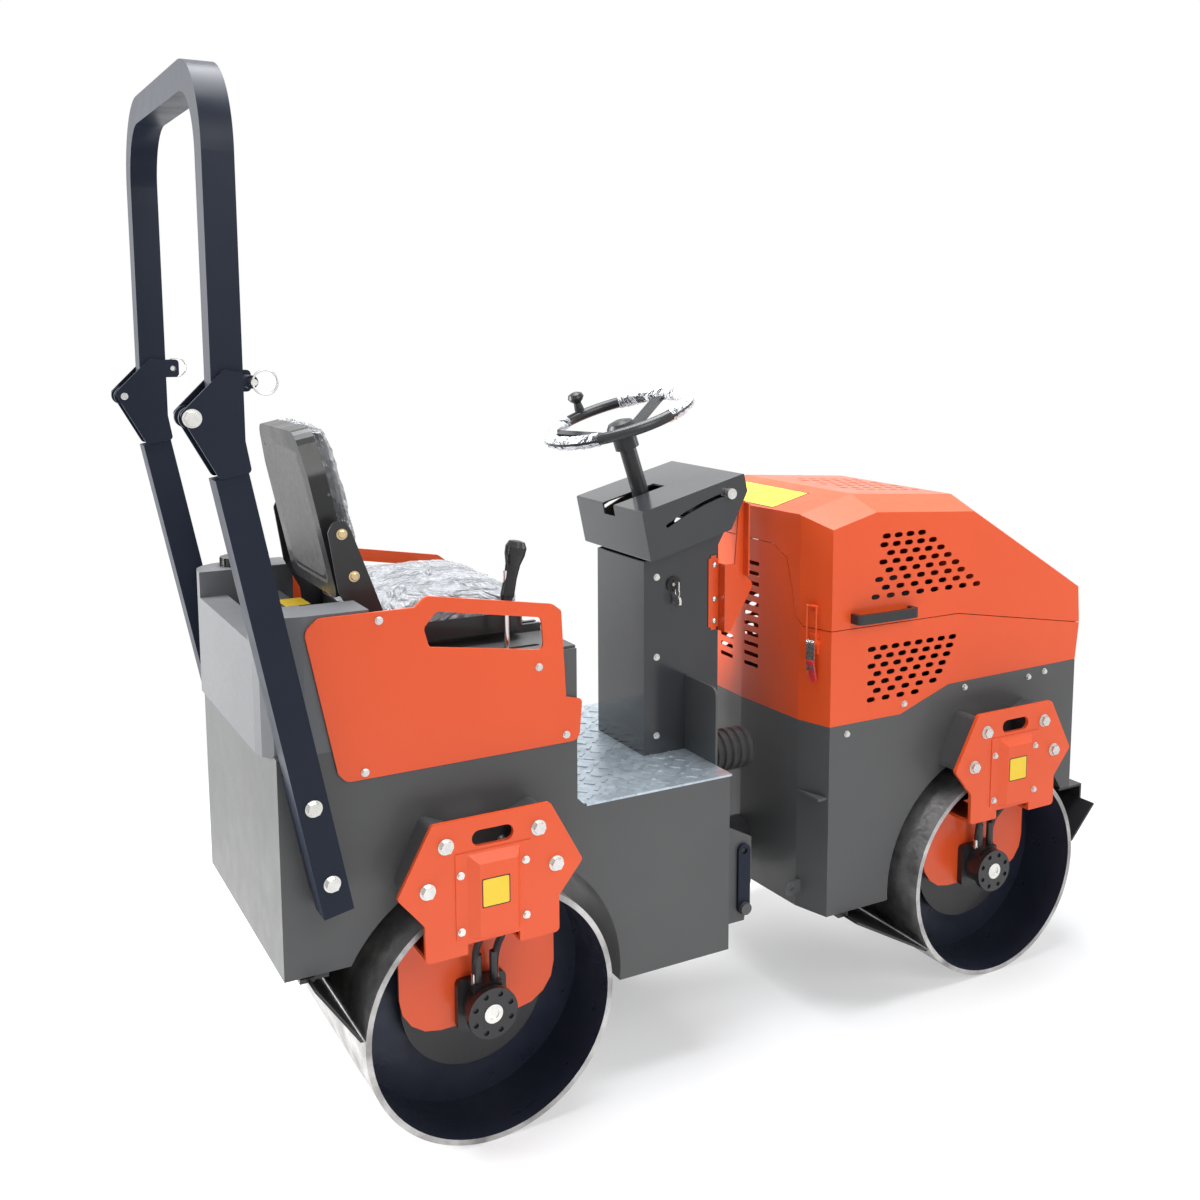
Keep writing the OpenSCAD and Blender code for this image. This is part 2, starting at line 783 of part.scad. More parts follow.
// Tilting cover, open below, slotted for the column and for the clamp knob
module dash_cover() {
  outline = rounded(spread(dash_shares, dash_size, dash_foot), sheet_t);
  color("darkslategray")
    placed() {
      difference() {
        slab_y(-dash_w / 2, dash_w) polygon(outline);
        slab_y(-dash_w / 2 + sheet_t, dash_w - 2 * sheet_t)
          polygon(inset(spread(dash_shares, dash_size, dash_foot), sheet_t));
        // Opening over the tower
        slab_y(-console_w / 2 - joint_gap, console_w + 2 * joint_gap)
          polygon([[console_rear_x - joint_gap, floor_z], [hinge_x, floor_z], [hinge_x, hinge_z - knuckle_d],
            [console_front_x + joint_gap, tower_front_z + dash_opening],
            [console_rear_x - joint_gap, tower_rear_z + dash_opening]]);
        translate([hinge_x, 0, hinge_z])
          rod_y(knuckle_d + 2 * joint_gap, -console_w / 2 - joint_gap, console_w / 2 + joint_gap);
        // Slot from the rear edge to the column
        block(dash_foot.x - cut, slot_front_x, -slot_half_w, slot_half_w,
          slot_low_z, dash_foot.y + dash_size.y);
        both_sides()
          slab_y(-dash_w / 2 - cut, sheet_t + 2 * cut)
            strip(spread(side_slot_shares, dash_size, dash_foot), side_slot_w);
      }
      // Hinge knuckles
      both_sides()
        difference() {
          union() {
            translate([hinge_x, 0, hinge_z])
              rod_y(knuckle_d, -console_w / 2 + sheet_t + joint_gap,
                -console_w / 2 + sheet_t + joint_gap + knuckle_l);
            slab_y(-console_w / 2 + sheet_t + joint_gap, knuckle_l)
              polygon([[hinge_x, hinge_z - sheet_t / 2], [hinge_x + knuckle_d, hinge_z + 2 * knuckle_d],
                [hinge_x + knuckle_d / 3, hinge_z + 5 * knuckle_d / 2],
                [hinge_x - knuckle_d / 2, hinge_z + knuckle_d / 3]]);
          }
          translate([hinge_x, 0, hinge_z])
            rod_y(hinge_d + 2 * shaft_gap, -console_w / 2, 0);
        }
    }
}

knob_d = 26;
knob_h = 16;
knob_place = dash_foot + [dash_size.x * 0.8, dash_size.y * 0.752];

module dash_knob() {
  color("silver")
    placed()
      translate([knob_place.x, 0, knob_place.y]) {
        rod_y(knob_d, -dash_w / 2 - knob_h - fit, -dash_w / 2 - fit);
        rod_y(side_slot_w - 2 * joint_gap, -dash_w / 2 - 2 * fit, -dash_w / 2 + 3 * knob_h / 2);
        rod_y(knob_d * 0.7, -dash_w / 2 + sheet_t + fit, -dash_w / 2 + 3 * knob_h / 2);
      }
}

wheel_back = 215;
wheel_x = console_front_x - wheel_back;
wheel_tilt = 18;
shaft_d = 20;
hub_drop = 78;
hub_d = 60;
hub_h = 40;
column_seat_drop = 100;
column_seat_z = tower_rear_z - column_seat_drop + panel_t;
column_len = (wheel_z - column_seat_z) / cos(wheel_tilt) - hub_drop;
shaft_len = 120;
foot_d = 72;
foot_h = 24;

module column_place() {
  translate([wheel_x, 0, wheel_z]) rotate([0, -wheel_tilt, 0]) children();
}

// Column tube that stands on the tower's cross plate, with the shaft bore
module steering_column() {
  color("black")
    placed()
      difference() {
        column_place() {
          rod_z(column_d, -hub_drop - column_len - foot_h, -hub_drop - fit);
          rod_z(foot_d, -hub_drop - column_len - foot_h, -hub_drop - column_len + foot_h);
        }
        column_place() rod_z(shaft_d + 2 * shaft_gap, -hub_drop - shaft_len, 0);
        block(console_rear_x, console_front_x, -console_w / 2, console_w / 2,
          column_seat_z - 3 * foot_h, column_seat_z);
      }
}

rim_d = 27;
spoke_w = 34;
spoke_t = 9;
spoke_drop = 52;
spokes = 3;
spoke_angle = 20;
knob_angle = 95;
spinner_d = 42;
spinner_stem = 12;

// Wheel with dished spokes; the shaft turns in the column
module steering_wheel() {
  ring_r = (wheel_od - rim_d) / 2;
  spoke_rise = atan(spoke_drop / ring_r);
  color("black")
    placed()
      difference() {
        column_place() {
          rotate_extrude() translate([ring_r, 0]) circle(d = rim_d);
          rod_z(hub_d, -hub_drop, -hub_drop + hub_h);
          rod_z(shaft_d, -hub_drop - shaft_len + 2 * cut, -hub_drop + cut);
          for (i = [0 : spokes - 1])
            rotate([0, 0, i * 360 / spokes + spoke_angle])
              translate([0, 0, -spoke_drop])
                rotate([0, -spoke_rise, 0])
                  translate([0, -spoke_w / 2, -spoke_t / 2])
                    cube([ring_r / cos(spoke_rise), spoke_w, spoke_t]);
          rotate([0, 0, knob_angle])
            translate([ring_r, 0, 0]) rod_z(spinner_stem * 2, 0, rim_d * 0.7);
        }
        column_place() rotate([0, 0, knob_angle])
          translate([ring_r, 0, 0]) rod_z(spinner_stem + 2 * shaft_gap, -rim_d / 4, rim_d);
      }
}

// Mushroom knob that spins on the rim
module spinner_knob() {
  ring_r = (wheel_od - rim_d) / 2;
  color("black")
    placed()
      column_place() rotate([0, 0, knob_angle]) translate([ring_r, 0, rim_d * 0.7 + fit]) {
        rotate_extrude()
          polygon([[0, 0], [spinner_stem, 0], [spinner_stem * 0.8, spinner_d * 0.35],
            [spinner_d * 0.38, spinner_d * 0.5], [spinner_d / 2, spinner_d * 0.68],
            [spinner_d * 0.42, spinner_d * 0.9], [spinner_d * 0.2, spinner_d], [0, spinner_d]]);
        rod_z(spinner_stem, -rim_d / 2, cut);
      }
}

// Seat and drive lever

seat_back_from_front = 400;
seat_rear_x = seat_front_x - seat_back_from_front;
rail_y = 150;
rail_w = 36;
rail_h = 18;
rail_l = 400;
pan_gap = 4;
pan_z = box_z + rail_h + pan_gap;
pan_t = 3;
pan_side = 14;
pan_w = cushion_w + pan_side;
pan_lip = 42;
seat_l = 330;
cushion_h = 92;
arm_plate_t = 5;
seat_arm_out = 39;
seat_arm_y = back_w / 2 + seat_arm_out;
fold_back = 48;
fold_x = seat_rear_x - fold_back;
fold_rise = 176;
fold_z = box_z + fold_rise;
fold_d = 12;
arm_size = [110, 266];
arm_back = 51;
arm_rise = 7;
arm_corner = [fold_x - arm_back, box_z + rail_h + arm_rise];
arm_foot_share = 0.54;
arm_shares = [[arm_foot_share, 0], [1, 0], [1, 0.28], [0.43, 0.93], [0.31, 1], [0.1, 1], [0, 0.92],
  [0.17, 0.45], [0.5, 0.19]];

// Channel rails bolted to the box lid
module seat_rails() {
  color("black")
    placed()
      both_sides()
        difference() {
          block(seat_rear_x - 20 * fit, seat_rear_x + rail_l - 20 * fit - cut, -rail_y - rail_w / 2,
            -rail_y + rail_w / 2, box_z, box_z + rail_h);
          block(seat_rear_x - rail_l, seat_rear_x + 2 * rail_l, -rail_y - rail_w / 2 + pan_t + fit,
            -rail_y + rail_w / 2 - pan_t - fit, box_z + pan_t, box_z + rail_h - pan_t);
          block(seat_rear_x - rail_l, seat_rear_x + 2 * rail_l, -rail_y - rail_w / 5,
            -rail_y + rail_w / 5, box_z + pan_t, box_z + rail_h + cut);
        }
}

slider_l = 200;
slider_w = rail_w - 2 * pan_t - 4 * fit;
slider_ahead = 100;
slider_x = seat_rear_x + slider_ahead;

// Pan with a lip, sliders in the rails and the side plates of the backrest
module seat_pan() {
  color("black")
    placed() {
      difference() {
        slab_z(pan_z, pan_lip)
          polygon(rounded(box_outline(seat_rear_x, seat_rear_x + seat_l + 2 * pan_t, -pan_w / 2, pan_w / 2), pan_lip));
        slab_z(pan_z + pan_t, pan_lip)
          polygon(rounded(box_outline(seat_rear_x + pan_t, seat_rear_x + seat_l + pan_t,
            -pan_w / 2 + pan_t, pan_w / 2 - pan_t), pan_lip - pan_t));
      }
      both_sides() {
        block(slider_x, slider_x + slider_l, -rail_y - slider_w / 2, -rail_y + slider_w / 2,
          box_z + pan_t + fit, box_z + rail_h - pan_t - fit);
        block(slider_x, slider_x + slider_l, -rail_y - rail_w / 8, -rail_y + rail_w / 8,
          box_z + 2 * pan_t, pan_z);
        difference() {
          slab_y(-seat_arm_y - arm_plate_t, arm_plate_t)
            polygon(rounded(spread(arm_shares, arm_size, arm_corner), fold_d));
          translate([fold_x, 0, fold_z]) rod_y(fold_d, -pan_w, pan_w);
        }
        // Foot of the side plate on the pan
        block(arm_corner.x + arm_size.x * arm_foot_share, seat_rear_x + pan_lip, -seat_arm_y - arm_plate_t, -seat_arm_y,
          pan_z, pan_z + pan_lip);
      }
    }
}

// Soft block: a rounded box whose top rises to a crown and whose sides draw in.
// It is a grid of rings from the flat underside to the middle of the top.
pad_steps = 12;
pad_rings = 9;
pad_clear = 5;
seat_power = 7;
back_power = 6;
back_taper = 0.5;

// One ring of the soft block, at share h of the height, drawn in by share s
function pad_ring(size, h, s, power) = [
  for (i = [0 : 4 * pad_steps - 1])
    let (
      a = 360 * i / (4 * pad_steps),
      c = cos(a),
      d = sin(a),
      r = pow(pow(abs(c), power) + pow(abs(d), power), -1 / power)
    )
    [size.x / 2 * s * r * c, size.y / 2 * s * r * d, size.z * h]];

pad_h_shares = [0, 0.12, 0.32, 0.55, 0.72, 0.83, 0.9, 0.96, 0.99];
pad_s_shares = [0.94, 0.98, 1, 0.99, 0.955, 0.88, 0.72, 0.42, 0.16];
channel_share = 0.07;
channel_at_share = 0.15;
channel_half_share = 0.06;
taper_from_share = 0.22;

// Lowers the top along two channels across the pad and draws its far end in by the share taper
function pad_point(p, size, taper) =
  let (
    along = p.x / size.x,
    near = min(abs(along - channel_at_share), abs(along + channel_at_share)),
    dip = p.z > size.z * pad_h_shares[4] ? max(0, 1 - near / channel_half_share) : 0,
    end = max(0, -along - taper_from_share)
  )
  [p.x, p.y * (1 - taper * end), p.z - size.z * channel_share * dip];

module soft_pad(size, power, taper) {
  count = 4 * pad_steps;
  rings = [for (k = [0 : pad_rings - 1])
    each [for (p = pad_ring(size, pad_h_shares[k], pad_s_shares[k], power)) pad_point(p, size, taper)]];
  points = concat(rings, [[0, 0, 0], [0, 0, size.z]]);
  sides = [for (k = [0 : pad_rings - 2], i = [0 : count - 1], half = [0, 1])
    let (j = (i + 1) % count, a = k * count, b = (k + 1) * count)
    half == 0 ? [a + i, b + i, b + j] : [a + i, b + j, a + j]];
  under = [for (i = [0 : count - 1]) [pad_rings * count, i, (i + 1) % count]];
  top = [for (i = [0 : count - 1])
    [pad_rings * count + 1, (pad_rings - 1) * count + (i + 1) % count, (pad_rings - 1) * count + i]];
  polyhedron(points = points, faces = concat(sides, under, top), convexity = 4);
}

module seat_cushion() {
  size = [seat_l - pad_clear, cushion_w, cushion_h + 2 * pan_lip / 3];
  color("black")
    placed()
      translate([seat_rear_x + pan_t + seat_l / 2, 0, pan_z + pan_t + fit]) soft_pad(size, seat_power, 0);
}

shell_t = 3;
shell_depth = 28;
back_h = 307;
back_low = 50;
back_pad_t = 46;
back_face = 42;
groove_w = 8;
back_overlap = 10;
panel_shares = [[0.76, -0.08, 0.79], [0.44, 0.05, 0.64]];
bar_share = 0.83;
back_radii = [30, 30, 60, 40, 40, 60];

// Frame of the backrest: origin at the fold pivot, leaning with the back
module back_place() {
  translate([fold_x, 0, fold_z]) rotate([0, -back_lean, 0]) children();
}

// Moulded back shell with a raised panel and the pivot bosses
module seat_back_shell() {
  back_outline = [[-back_w / 2, -back_low], [back_w / 2, -back_low], [back_w / 2, back_h * 0.7],
    [back_w / 2 - shell_depth, back_h], [-back_w / 2 + shell_depth, back_h], [-back_w / 2, back_h * 0.7]];
  color("black")
    placed()
      back_place() {
        difference() {
          slab_x(back_face - back_pad_t - shell_depth, shell_depth + back_overlap)
            polygon(rounded(back_outline, back_radii));
          slab_x(back_face - back_pad_t - shell_depth + shell_t, shell_depth + back_overlap)
            polygon(rounded(inset(back_outline, shell_t), [for (r = back_radii) r - shell_t]));
          // Grooves round the two nested panels on the back, and one straight groove above them
          slab_x(back_face - back_pad_t - shell_depth - cut, cut + shell_t / 2)
            union() {
              for (s = panel_shares)
                difference() {
                  polygon(rounded(box_outline(-back_w * s[0] / 2, back_w * s[0] / 2,
                    back_h * s[1], back_h * s[2]), 3 * groove_w));
                  polygon(rounded(box_outline(-back_w * s[0] / 2 + groove_w, back_w * s[0] / 2 - groove_w,
                    back_h * s[1] + groove_w, back_h * s[2] - groove_w), 2 * groove_w));
                }
              polygon(box_outline(-back_w * panel_shares[0][0] / 2, back_w * panel_shares[0][0] / 2,
                back_h * bar_share, back_h * bar_share + groove_w));
            }
        }
        both_sides()
          difference() {
            union() {
              rod_y(3 * fold_d, -seat_arm_y + joint_gap, -back_w / 2 + shell_t);
              rod_y(fold_d - 2 * shaft_gap, -seat_arm_y - arm_plate_t - fold_d / 3, -back_w / 2);
            }
            translate([back_face - 2 * fit, -back_w, -back_w]) cube([back_w, 2 * back_w, 2 * back_w]);
          }
      }
}

module seat_back_cushion() {
  size = [back_h + back_low - 2 * shell_t - pad_clear, back_w - 2 * shell_t - pad_clear,
    back_pad_t + shell_depth - shell_t - fit];
  color("black")
    placed()
      back_place()
        translate([back_face - size.z, 0, (back_h - back_low) / 2])
          rotate([0, 90, 0]) soft_pad(size, back_power, back_taper);
}

lever_d = 12;
lever_pin_d = 10;
lever_pivot_drop = 22;
lever_pivot_z = box_z - lever_pivot_drop;
lever_top_z = 1145;
lever_lean = 12;
ball_d = 26;

// Lever rod with its pivot tube below the lid
module drive_lever() {
  color("silver")
    placed()
      translate([slot_x, slot_y, lever_pivot_z])
        difference() {
          union() {
            rod_z(lever_d, 0, lever_top_z - lever_pivot_z + grip_len / 2);
            rod_y(ball_d, -ball_d / 2, ball_d / 2);
          }
          rod_y(lever_pin_d + 2 * shaft_gap, -ball_d, ball_d);
        }
}

// Grip: a tapered handle that leans forward to a rounded knob
module lever_grip() {
  color("black")
    placed()
      difference() {
        translate([slot_x, slot_y, lever_top_z])
          rotate([0, lever_lean, 0])
            rotate_extrude()
              polygon([[0, 0], [12, 0], [15, 12], [14, 50], [16, 78], [22, 100], [23, 116],
                [17, 128], [8, 130], [0, 130]] * grip_len / 130);
        translate([slot_x, slot_y, 0]) rod_z(lever_d + 2 * fit, lever_top_z - ball_d, lever_top_z + grip_len / 2 + fit);
      }
}

// Steering joint

yoke_z = 370;
lug_t = 25;
lug_w = 120;
block_h = 118;
block_r = 48;
king_d = 44;
king_top = 18;
trunnion_d = 60;
trunnion_end = 262;
boss_d = 96;
boss_x0 = 166;
boss_x1 = 240;
nut_d = 84;
arm_pin = [85, 80];
arm_plate = 14;
ram_foot = [-180, 120];
ram_d = 50;
ram_l = 185;
ram_rod_d = 24;
ram_eye = 20;
ram_run = norm(arm_pin - ram_foot);
ram_angle = atan2(arm_pin.y - ram_foot.y, arm_pin.x - ram_foot.x);
ram_mount_t = 12;
ram_hole_d = 90;
cheek_y = 285;
cheek_t = 6;
cheek_shares = [[0, 0], [0.8, 0], [1, 0.38], [1, 0.8], [0, 1]];
cheek_size = [97, 262];
lock_bar_w = 34;
lock_bar_t = 8;
lock_bar_foot = [-25, 318];
lock_bar_l = 144;
lock_hole = 16;

// Two lugs and the king pin on the rear frame, the ram's foot and the side cheeks
module rear_yoke() {
  color("dimgray")
    placed() {
      for (z = [yoke_z - block_h / 2 - joint_gap - lug_t, yoke_z + block_h / 2 + joint_gap])
        slab_z(z, lug_t)
          union() {
            translate([steer_x, 0]) circle(d = lug_w);
            translate([floor_front_x, -lug_w / 2]) square([steer_x - floor_front_x, lug_w]);
          }
      translate([steer_x, 0, 0])
        rod_z(king_d, yoke_z - block_h / 2 - lug_t - king_top, yoke_z + block_h / 2 + lug_t + king_top);
      block(floor_front_x, floor_front_x + lug_w / 3, -lug_w / 3, lug_w / 3,
        yoke_z - block_h / 2 - joint_gap, yoke_z + block_h / 2 + joint_gap);
      // Foot of the ram behind the front plate
      for (z = [yoke_z - ram_d / 2 - joint_gap - ram_mount_t, yoke_z + ram_d / 2 + joint_gap])
        difference() {
          block(ram_foot.x - ram_eye, floor_front_x - panel_t, ram_foot.y - ram_eye,
            ram_foot.y + 1.5 * ram_eye, z, z + ram_mount_t);
          block(ram_foot.x + 2 * ram_eye, floor_front_x - panel_t + cut, ram_foot.y - 2 * ram_eye,
            ram_foot.y + ram_eye / 8, z - cut, z + ram_mount_t + cut);
        }
      translate([ram_foot.x, ram_foot.y, 0])
        rod_z(ram_eye, yoke_z - ram_d / 2 - ram_mount_t, yoke_z + ram_d / 2 + ram_mount_t);
      // Cheeks beside the joint; the near one carries the lock bar
      both_sides()
        slab_y(-cheek_y, cheek_t)
          polygon(spread(cheek_shares, cheek_size, [floor_front_x, belly_z + lock_bar_w]));
      translate([lock_bar_foot.x, 0, lock_bar_foot.y])
        rod_y(lock_hole, -cheek_y - lock_bar_t - joint_gap - 2 * cheek_t, -cheek_y);
      translate([lock_bar_foot.x, 0, lock_bar_foot.y])
        rod_y(lock_hole * 1.8, -cheek_y - lock_bar_t - joint_gap - 2 * cheek_t, -cheek_y - lock_bar_t - 2 * joint_gap);
    }
}

// Centre block: king pin bore, trunnion for the front frame and the ram's arm
module centre_joint() {
  color("dimgray")
    placed()
      difference() {
        union() {
          translate([steer_x, 0, 0]) rod_z(2 * block_r, yoke_z - block_h / 2, yoke_z + block_h / 2);
          translate([0, 0, yoke_z]) {
            rod_x(boss_d, steer_x, boss_x0 - joint_gap);
            rod_x(trunnion_d, steer_x, trunnion_end);
            rod_x(nut_d, boss_x1 + joint_gap, trunnion_end);
          }
          slab_z(yoke_z - ram_eye - arm_plate - joint_gap, arm_plate)
            union() {
              translate(arm_pin) circle(r = ram_eye);
              polygon([[steer_x - block_r / 3, 0], [steer_x + block_r, 0],
                [arm_pin.x + ram_eye, arm_pin.y], [arm_pin.x - ram_eye, arm_pin.y]]);
            }
        }
        translate([steer_x, 0, 0])
          rod_z(king_d + 2 * shaft_gap, yoke_z - block_h, yoke_z + block_h);
      }
}

module ram_place() {
  translate([ram_foot.x, ram_foot.y, yoke_z]) rotate([0, 0, ram_angle]) children();
}

module steering_barrel() {
  color("black")
    placed()
      ram_place()
        difference() {
          union() {
            rod_z(2 * ram_eye, -ram_d / 2, ram_d / 2);
            rod_x(ram_d, ram_eye / 2, ram_l);
          }
          rod_z(ram_eye + 2 * shaft_gap, -ram_d, ram_d);
          rod_x(ram_rod_d + 2 * shaft_gap, 2 * ram_eye, ram_l + cut);
        }
}

// Rod with its eye on the centre block's arm
module steering_rod() {
  color("silver")
    placed()
      ram_place()
        difference() {
          union() {
            rod_x(ram_rod_d, ram_run - ram_l + ram_eye / 2, ram_run - ram_eye / 2);
            translate([ram_run, 0, 0]) rod_z(2 * ram_eye, -ram_eye, ram_eye);
          }
          translate([ram_run, 0, 0]) rod_z(ram_eye, -ram_d, ram_d);
        }
}

// Transport lock bar, stowed upright on the cheek
module lock_bar() {
  color("dimgray")
    placed()
      difference() {
        slab_y(-cheek_y - lock_bar_t - joint_gap, lock_bar_t)
          union() {
            translate(lock_bar_foot) circle(d = lock_bar_w);
            translate(lock_bar_foot + [0, lock_bar_l]) circle(d = lock_bar_w);
            translate(lock_bar_foot - [lock_bar_w / 2, 0]) square([lock_bar_w, lock_bar_l]);
          }
        translate([lock_bar_foot.x, 0, lock_bar_foot.y])
          rod_y(lock_hole + 2 * shaft_gap, -half_w, 0);
        translate([lock_bar_foot.x, 0, lock_bar_foot.y + lock_bar_l]) rod_y(lock_hole, -half_w, 0);
      }
}

// Front frame and hood

frame_rear = [195, 168, 158];
frame_rear_y = 240;
sill_x = [418, 579];
sill_z = [746, 802, 808];
belly_step = 10;
front_belly_z = belly_z + belly_step;
hook_size = [46, 34];
hook_y = 250;
hook_z = 314;
hook_hole = 14;
deck_plate_z = 560;
duct_y = -175;
duct_z = 680;
duct_d = 104;
duct_bore = 84;
duct_ribs = 6;

// Plan of the front unit's rear face, moved forward by t
function rear_plan(t, far_x) = [[far_x, -half_w], [frame_rear[0] + t, -half_w],
  [frame_rear[1] + t, -frame_rear_y], [frame_rear[2] + t, 0], [frame_rear[1] + t, frame_rear_y],
  [frame_rear[0] + t, half_w], [far_x, half_w]];

sill = [[frame_rear[2], sill_z[0]], [sill_x[0], sill_z[0]], [sill_x[1], sill_z[1]],
  [front_x, sill_z[2]]];

module front_frame() {
  outline = [[frame_rear[0], front_belly_z], [axle_x, front_belly_z],
    [axle_x, tail_z], [front_x, tail_z], [front_x, sill[3].y], sill[2], sill[1],
    [frame_rear[0], sill_z[0]]];
  color("dimgray")
    placed() {
      both_sides() {
        slab_y(-half_w, panel_t) side_outline(outline, axle_x);
        support_arms(axle_x + plate_shift);
      }
      // Rear plate, slightly bowed in plan
      difference() {
        slab_z(outline[0].y, sill_z[0] - outline[0].y)
          difference() {
            polygon(rear_plan(0, frame_rear[0] + panel_t));
            polygon(concat([[frame_rear[0] + 2 * panel_t, -half_w - cut]],
              [for (p = rear_plan(panel_t, 0)) if (p.x > 0) p],
              [[frame_rear[0] + 2 * panel_t, half_w + cut]]));
          }
        translate([0, 0, yoke_z]) rod_x(boss_d + 2 * joint_gap, 0, boss_x1);
      }
      // Boss that turns on the centre block's trunnion
      translate([0, 0, yoke_z])
        difference() {
          rod_x(boss_d + 2 * panel_t, boss_x0, boss_x1);
          rod_x(trunnion_d + 2 * shaft_gap, 0, axle_x);
        }
      block(front_x - panel_t, front_x, -half_w + panel_t, half_w - panel_t,
        tail_z, sill_z[2]);
      fender(axle_x, front_belly_z, tail_z, 1);
      // Deck that carries the engine
      block(frame_rear[1], axle_x - arch_r / 2, -half_w + panel_t, half_w - panel_t,
        deck_plate_z, deck_plate_z + panel_t);
      // Hook for the transport lock
      difference() {
        slab_y(-hook_y - panel_t, panel_t)
          polygon(rounded(box_outline(frame_rear[1] - hook_size.x + panel_t, frame_rear[1] + 2 * panel_t,
            hook_z - hook_size.y / 2, hook_z + hook_size.y / 2), [hook_hole / 2, 0, 0, hook_hole / 2]));
        translate([frame_rear[1] - hook_size.x + hook_size.y / 2 + panel_t, 0, hook_z])
          rod_y(hook_hole, -half_w, 0);
      }
    }
}

// Ribbed hose between the two frames
module air_duct() {
  x0 = toe_x + panel_t + fit;
  x1 = steer_x;
  pitch = (x1 - x0) / duct_ribs;
  color("black")
    placed()
      translate([x0, duct_y, duct_z])
        rotate([0, 90, 0])
          rotate_extrude()
            polygon(concat([[duct_bore / 2, 0]],
              [for (i = [0 : duct_ribs - 1], s = [[0.92, 0.05], [1, 0.25], [1, 0.75], [0.92, 0.95]])
                [duct_d / 2 * s.x, pitch * (i + s.y)]],
              [[duct_bore / 2, x1 - x0]]));
}

nose_low_z = sill_z[2];
nose_tip_reach = 11;
nose_tip_x = front_x + nose_tip_reach;
nose_top_x = front_x - 1;
nose_top_z = 1054;
seam_break_x = 606;
roof_rear_z = 1262;
roof_x = [325, 660];
roof_fall = 22;
chamfer_w = 100;
chamfer_h = 34;
seam_gap = 2;
far = 2000;
tongue_shares = [[1, 0.01], [0.89, 0.12], [0.827, 0.51], [0.74, 0.85], [0.514, 1]];
tongue_size = [249, 191];
roof_line = [[frame_rear[2], roof_rear_z], [roof_x[0], roof_z], [roof_x[1], roof_z - roof_fall],
  [nose_top_x, nose_top_z]];
hood_profile = concat([[frame_rear[2], sill_z[0] + fit], [sill_x[0], sill_z[0] + fit],
  [sill_x[1], sill_z[1] + fit], [front_x, nose_low_z + fit], [nose_tip_x, nose_seam_z]],
  [for (i = [3 : -1 : 0]) roof_line[i]]);

// Solid of the whole hood, moved inward by t, with chamfered roof sides
module hood_form(t) {
  low = t > 0 ? cut : 0;
  difference() {
    intersection() {
      slab_y(-half_w + t, 2 * (half_w - t))
        polygon([for (i = [0 : len(hood_profile) - 1])
          inset(hood_profile, t)[i] - [0, i < 4 ? t + low : 0]]);
      slab_z(sill_z[0] - 2 * low - t, roof_z)
        polygon([for (p = rear_plan(t, far)) [p.x, p.y]]);
    }
    both_sides()
      for (i = [0 : 2]) {
        run = roof_line[i + 1] - roof_line[i];
        translate([roof_line[i].x, 0, roof_line[i].y])
          rotate([0, -atan2(run.y, run.x), 0])
            translate([-far, 0, -t])
              rotate([90, 0, 90])
                linear_extrude(2 * far)
                  polygon([[-half_w - cut, -chamfer_h], [-half_w, -chamfer_h],
                    [-half_w + chamfer_w, 0], [-half_w + chamfer_w, far / 10],
                    [-half_w - cut, far / 10]]);
      }
  }
}

module hood_shell() {
  difference() {
    hood_form(0);
    hood_form(hood_t);
  }
}

// Everything below the seam line, raised by gap
module below_seam(gap) {
  slab_y(-half_w - cut, 2 * (half_w + cut))
    polygon([[0, 0], [far, 0], [far, nose_seam_z + gap], [nose_tip_x, nose_seam_z + gap],
      [seam_break_x, seam_z + gap], [0, seam_z + gap]]);
}

// Tongue of the rear wall that belongs to the lower hood, widened by gap
module tongue(gap) {
  right = [for (s = tongue_shares) [-s.x * tongue_size.x - gap, seam_z + s.y * tongue_size.y + gap]];
  left = [for (i = [len(right) - 1 : -1 : 0]) [-right[i].x, right[i].y]];
  slab_x(frame_rear[2] - cut, frame_rear[1] + 2 * hood_t - frame_rear[2])
    polygon(concat([[-tongue_size.x, seam_z - cut]], right, left, [[tongue_size.x, seam_z - cut]]));
}

perf_size = [26, 13];
perf_pitch = [38, 21.5];
upper_rows = [[4, 361], [5, 354], [5, 376], [6, 352], [6, 372], [7, 340], [7, 362], [8, 330]];
lower_rows = [[8, 322], [7, 341], [7, 322], [6, 341], [6, 322], [5, 341], [4, 322]];
upper_perf_z = 1209;
lower_perf_z = 927;

module perforation() {
  w = perf_size.x / 2;
  h = perf_size.y / 2;
  polygon([[-w, -h / 2], [-w + h, -h], [w - h, -h], [w, -h / 2], [w, h / 2], [w - h, h],
    [-w + h, h], [-w, h / 2]]);
}

// Rows of slots: each row has a count and the place of its first slot
module perforations(rows, top_z) {
  for (r = [0 : len(rows) - 1], i = [0 : rows[r][0] - 1])
    translate([rows[r][1] + perf_pitch.x * i * (1 + 0.3 * r / len(rows)), top_z - perf_pitch.y * r])
      perforation();
}

louvre_w = 62;
louvre_h = 11;
louvre_pitch = 27;
louvre_y = [-72, 45];
louvre_z = [838, 900];
louvre_count = [11, 3];

// Slots of the lower rear wall in two columns
module louvres() {
  for (k = [0, 1], i = [0 : louvre_count[k] - 1])
    slab_x(0, front_x / 2)
      translate([louvre_y[k], louvre_z[0] + louvre_pitch * i])
        polygon(rounded(box_outline(0, louvre_w, 0, louvre_h), louvre_h / 3));
}

latch_z = 955;
latch_w = 24;
latch_base_h = 60;
latch_base_t = 8;
latch_pin_d = 6;
latch_reach = 16;
latch_wire = 4;
catch_z = 1026;
catch_h = 20;
latch_lever_l = 62;

// Frame of a latch on the angled rear corner: X points out of the hood
module latch_place() {
  run = [frame_rear[1] - frame_rear[0], half_w - frame_rear_y];
  translate([(frame_rear[0] + frame_rear[1]) / 2, -(half_w + frame_rear_y) / 2, 0])
    rotate([0, 0, 180 - atan2(run.x, run.y)])
      children();
}

